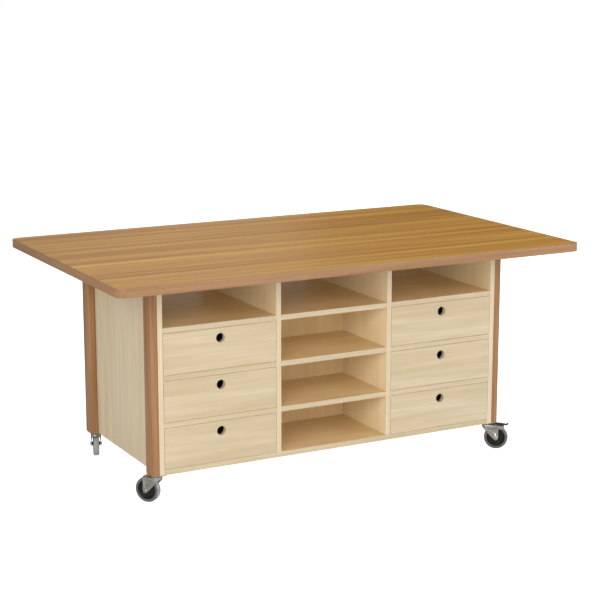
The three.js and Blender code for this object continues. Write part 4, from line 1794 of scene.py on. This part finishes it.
@dataclass
class Studio:
    """The pale floor, the soft lights, the white surroundings and the camera.

    Attributes:
        camera_place: Where the camera stands.
        yaw: How far it looks to the right of +Y.
        pitch: How far it looks down.
        lens: Its focal length in millimetres, on a 36 mm sensor.
        ambient_front: The strength of the light from all round, in front.
        ambient_back: The same behind the table.
        ambient_gloss: How bright the surroundings are in reflections.
        floor_glow: How much light the floor gives the table of its own.
        floor_white: How much more the camera sees in it, so that it reads as white.
        floor_reach: How far the floor goes on each side.
        softboxes: The soft lights.
    """

    camera_place: tuple[float, float, float] = (-3.0203, -5.7287, 2.0324)
    yaw: float = 0.489516
    pitch: float = 0.209911
    lens: float = 96.835
    ambient_front: float = 0.54
    ambient_back: float = 0.46
    ambient_gloss: float = 0.09
    floor_glow: float = 0.27
    floor_white: float = 0.95
    floor_reach: float = 60.0
    softboxes: Sequence[Softbox] = (
        Softbox("key_softbox", (-4.2, -3.9, 2.25), (0.0, 0.0, 0.5), (3.0, 2.4), 178.0,
                tint=(1.0, 0.95, 0.85)),
        Softbox("fill_softbox", (3.8, -4.0, 2.0), (0.1, 0.0, 0.5), (3.0, 2.2), 92.0),
        Softbox("front_softbox", (0.2, -6.4, 1.5), (0.0, 0.0, 0.5), (3.0, 1.2), 45.0),
        Softbox("overhead_softbox", (0.0, -0.6, 4.2), (0.0, 0.0, 0.8), (4.0, 3.0), 92.0),
        Softbox("low_right_softbox", (4.4, 0.9, 0.8), (0.0, 0.0, 0.15), (2.4, 1.4), 30.0),
        Softbox("rear_softbox", (1.5, 4.0, 4.6), (0.0, 0.0, 0.6), (2.6, 2.0), 40.0),
        Softbox("sheen_softbox", (1.3, 5.2, 1.9), (0.0, 0.0, 0.8), (2.8, 1.5), 5.5),
    )

    def build(self) -> None:
        """Build the studio."""
        self.build_floor()
        self.build_surroundings()
        for softbox in self.softboxes:
            softbox.build()
        self.build_camera()
        bpy.context.scene.view_settings.view_transform = "Standard"

    def build_floor(self) -> None:
        """Lay the plain pale floor."""
        shape = bmesh.new()
        bmesh.ops.create_grid(shape, x_segments=1, y_segments=1, size=self.floor_reach)
        mesh = bpy.data.meshes.new("studio_floor")
        shape.to_mesh(mesh)
        shape.free()
        floor = linked_object("studio_floor", mesh)
        material = bpy.data.materials.new("studio_floor")
        material.use_nodes = True
        shader = next(n for n in material.node_tree.nodes if n.type == "BSDF_PRINCIPLED")
        wire = Wiring(material.node_tree)
        paths = wire.add("ShaderNodeLightPath").outputs
        seen = wire.math("MULTIPLY", paths["Is Camera Ray"], self.floor_white)
        glow = wire.math("MULTIPLY", paths["Is Diffuse Ray"], self.floor_glow)
        wire.feed(shader, {"Base Color": (0.5, 0.5, 0.5, 1.0), "Roughness": 0.9, "Specular IOR Level": 0.1,
                           "Emission Color": (1.0, 1.0, 1.0, 1.0),
                           "Emission Strength": wire.math("ADD", seen, glow)})
        mesh.materials.append(material)

    def build_surroundings(self) -> None:
        """Set a white backdrop that gives only a little light of its own."""
        world = bpy.data.worlds.new("studio")
        bpy.context.scene.world = world
        world.use_nodes = True
        wire = Wiring(world.node_tree)
        world.node_tree.nodes.clear()
        paths = wire.add("ShaderNodeLightPath").outputs
        direction = wire.add("ShaderNodeTexCoord").outputs["Generated"]
        ambient = wire.spread(wire.parts(direction)["Y"], -0.6, 0.6, self.ambient_front, self.ambient_back)
        light, mirrored, backdrop = (
            wire.add("ShaderNodeBackground", {"Color": (1.0, 1.0, 1.0, 1.0), "Strength": strength}).outputs[0]
            for strength in (ambient, self.ambient_gloss, 1.0))
        lit = wire.add("ShaderNodeMixShader", {0: paths["Is Glossy Ray"], 1: light, 2: mirrored})
        mixed = wire.add("ShaderNodeMixShader", {0: paths["Is Camera Ray"], 1: lit.outputs[0], 2: backdrop})
        wire.add("ShaderNodeOutputWorld", {"Surface": mixed.outputs[0]})

    def build_camera(self) -> None:
        """Stand the camera in its place."""
        camera = bpy.data.cameras.new("camera")
        camera.lens = self.lens
        camera.sensor_width = 36.0
        camera.clip_end = 200.0
        holder = linked_object("camera", camera)
        holder.location = self.camera_place
        holder.rotation_euler = (math.pi / 2 - self.pitch, 0.0, -self.yaw)
        bpy.context.scene.camera = holder


def main() -> None:
    """Build the table and its studio, and report each piece."""
    logging.basicConfig(level=logging.INFO, format="%(name)s: %(message)s")
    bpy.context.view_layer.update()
    Studio().build()
    Worktop().build()
    Cabinet().build()
    CornerPosts().build()
    Fixings().build()
    places = ((column, row) for column in ("left", "right") for row in (1, 2, 3))
    for number, (column, row) in enumerate(places, start=FirstNumber.DRAWER):
        Drawer(column, row, number).build()
    for key in ("fl", "fr", "bl", "br"):
        Caster(key).build()


if __name__ == "__main__":
    main()
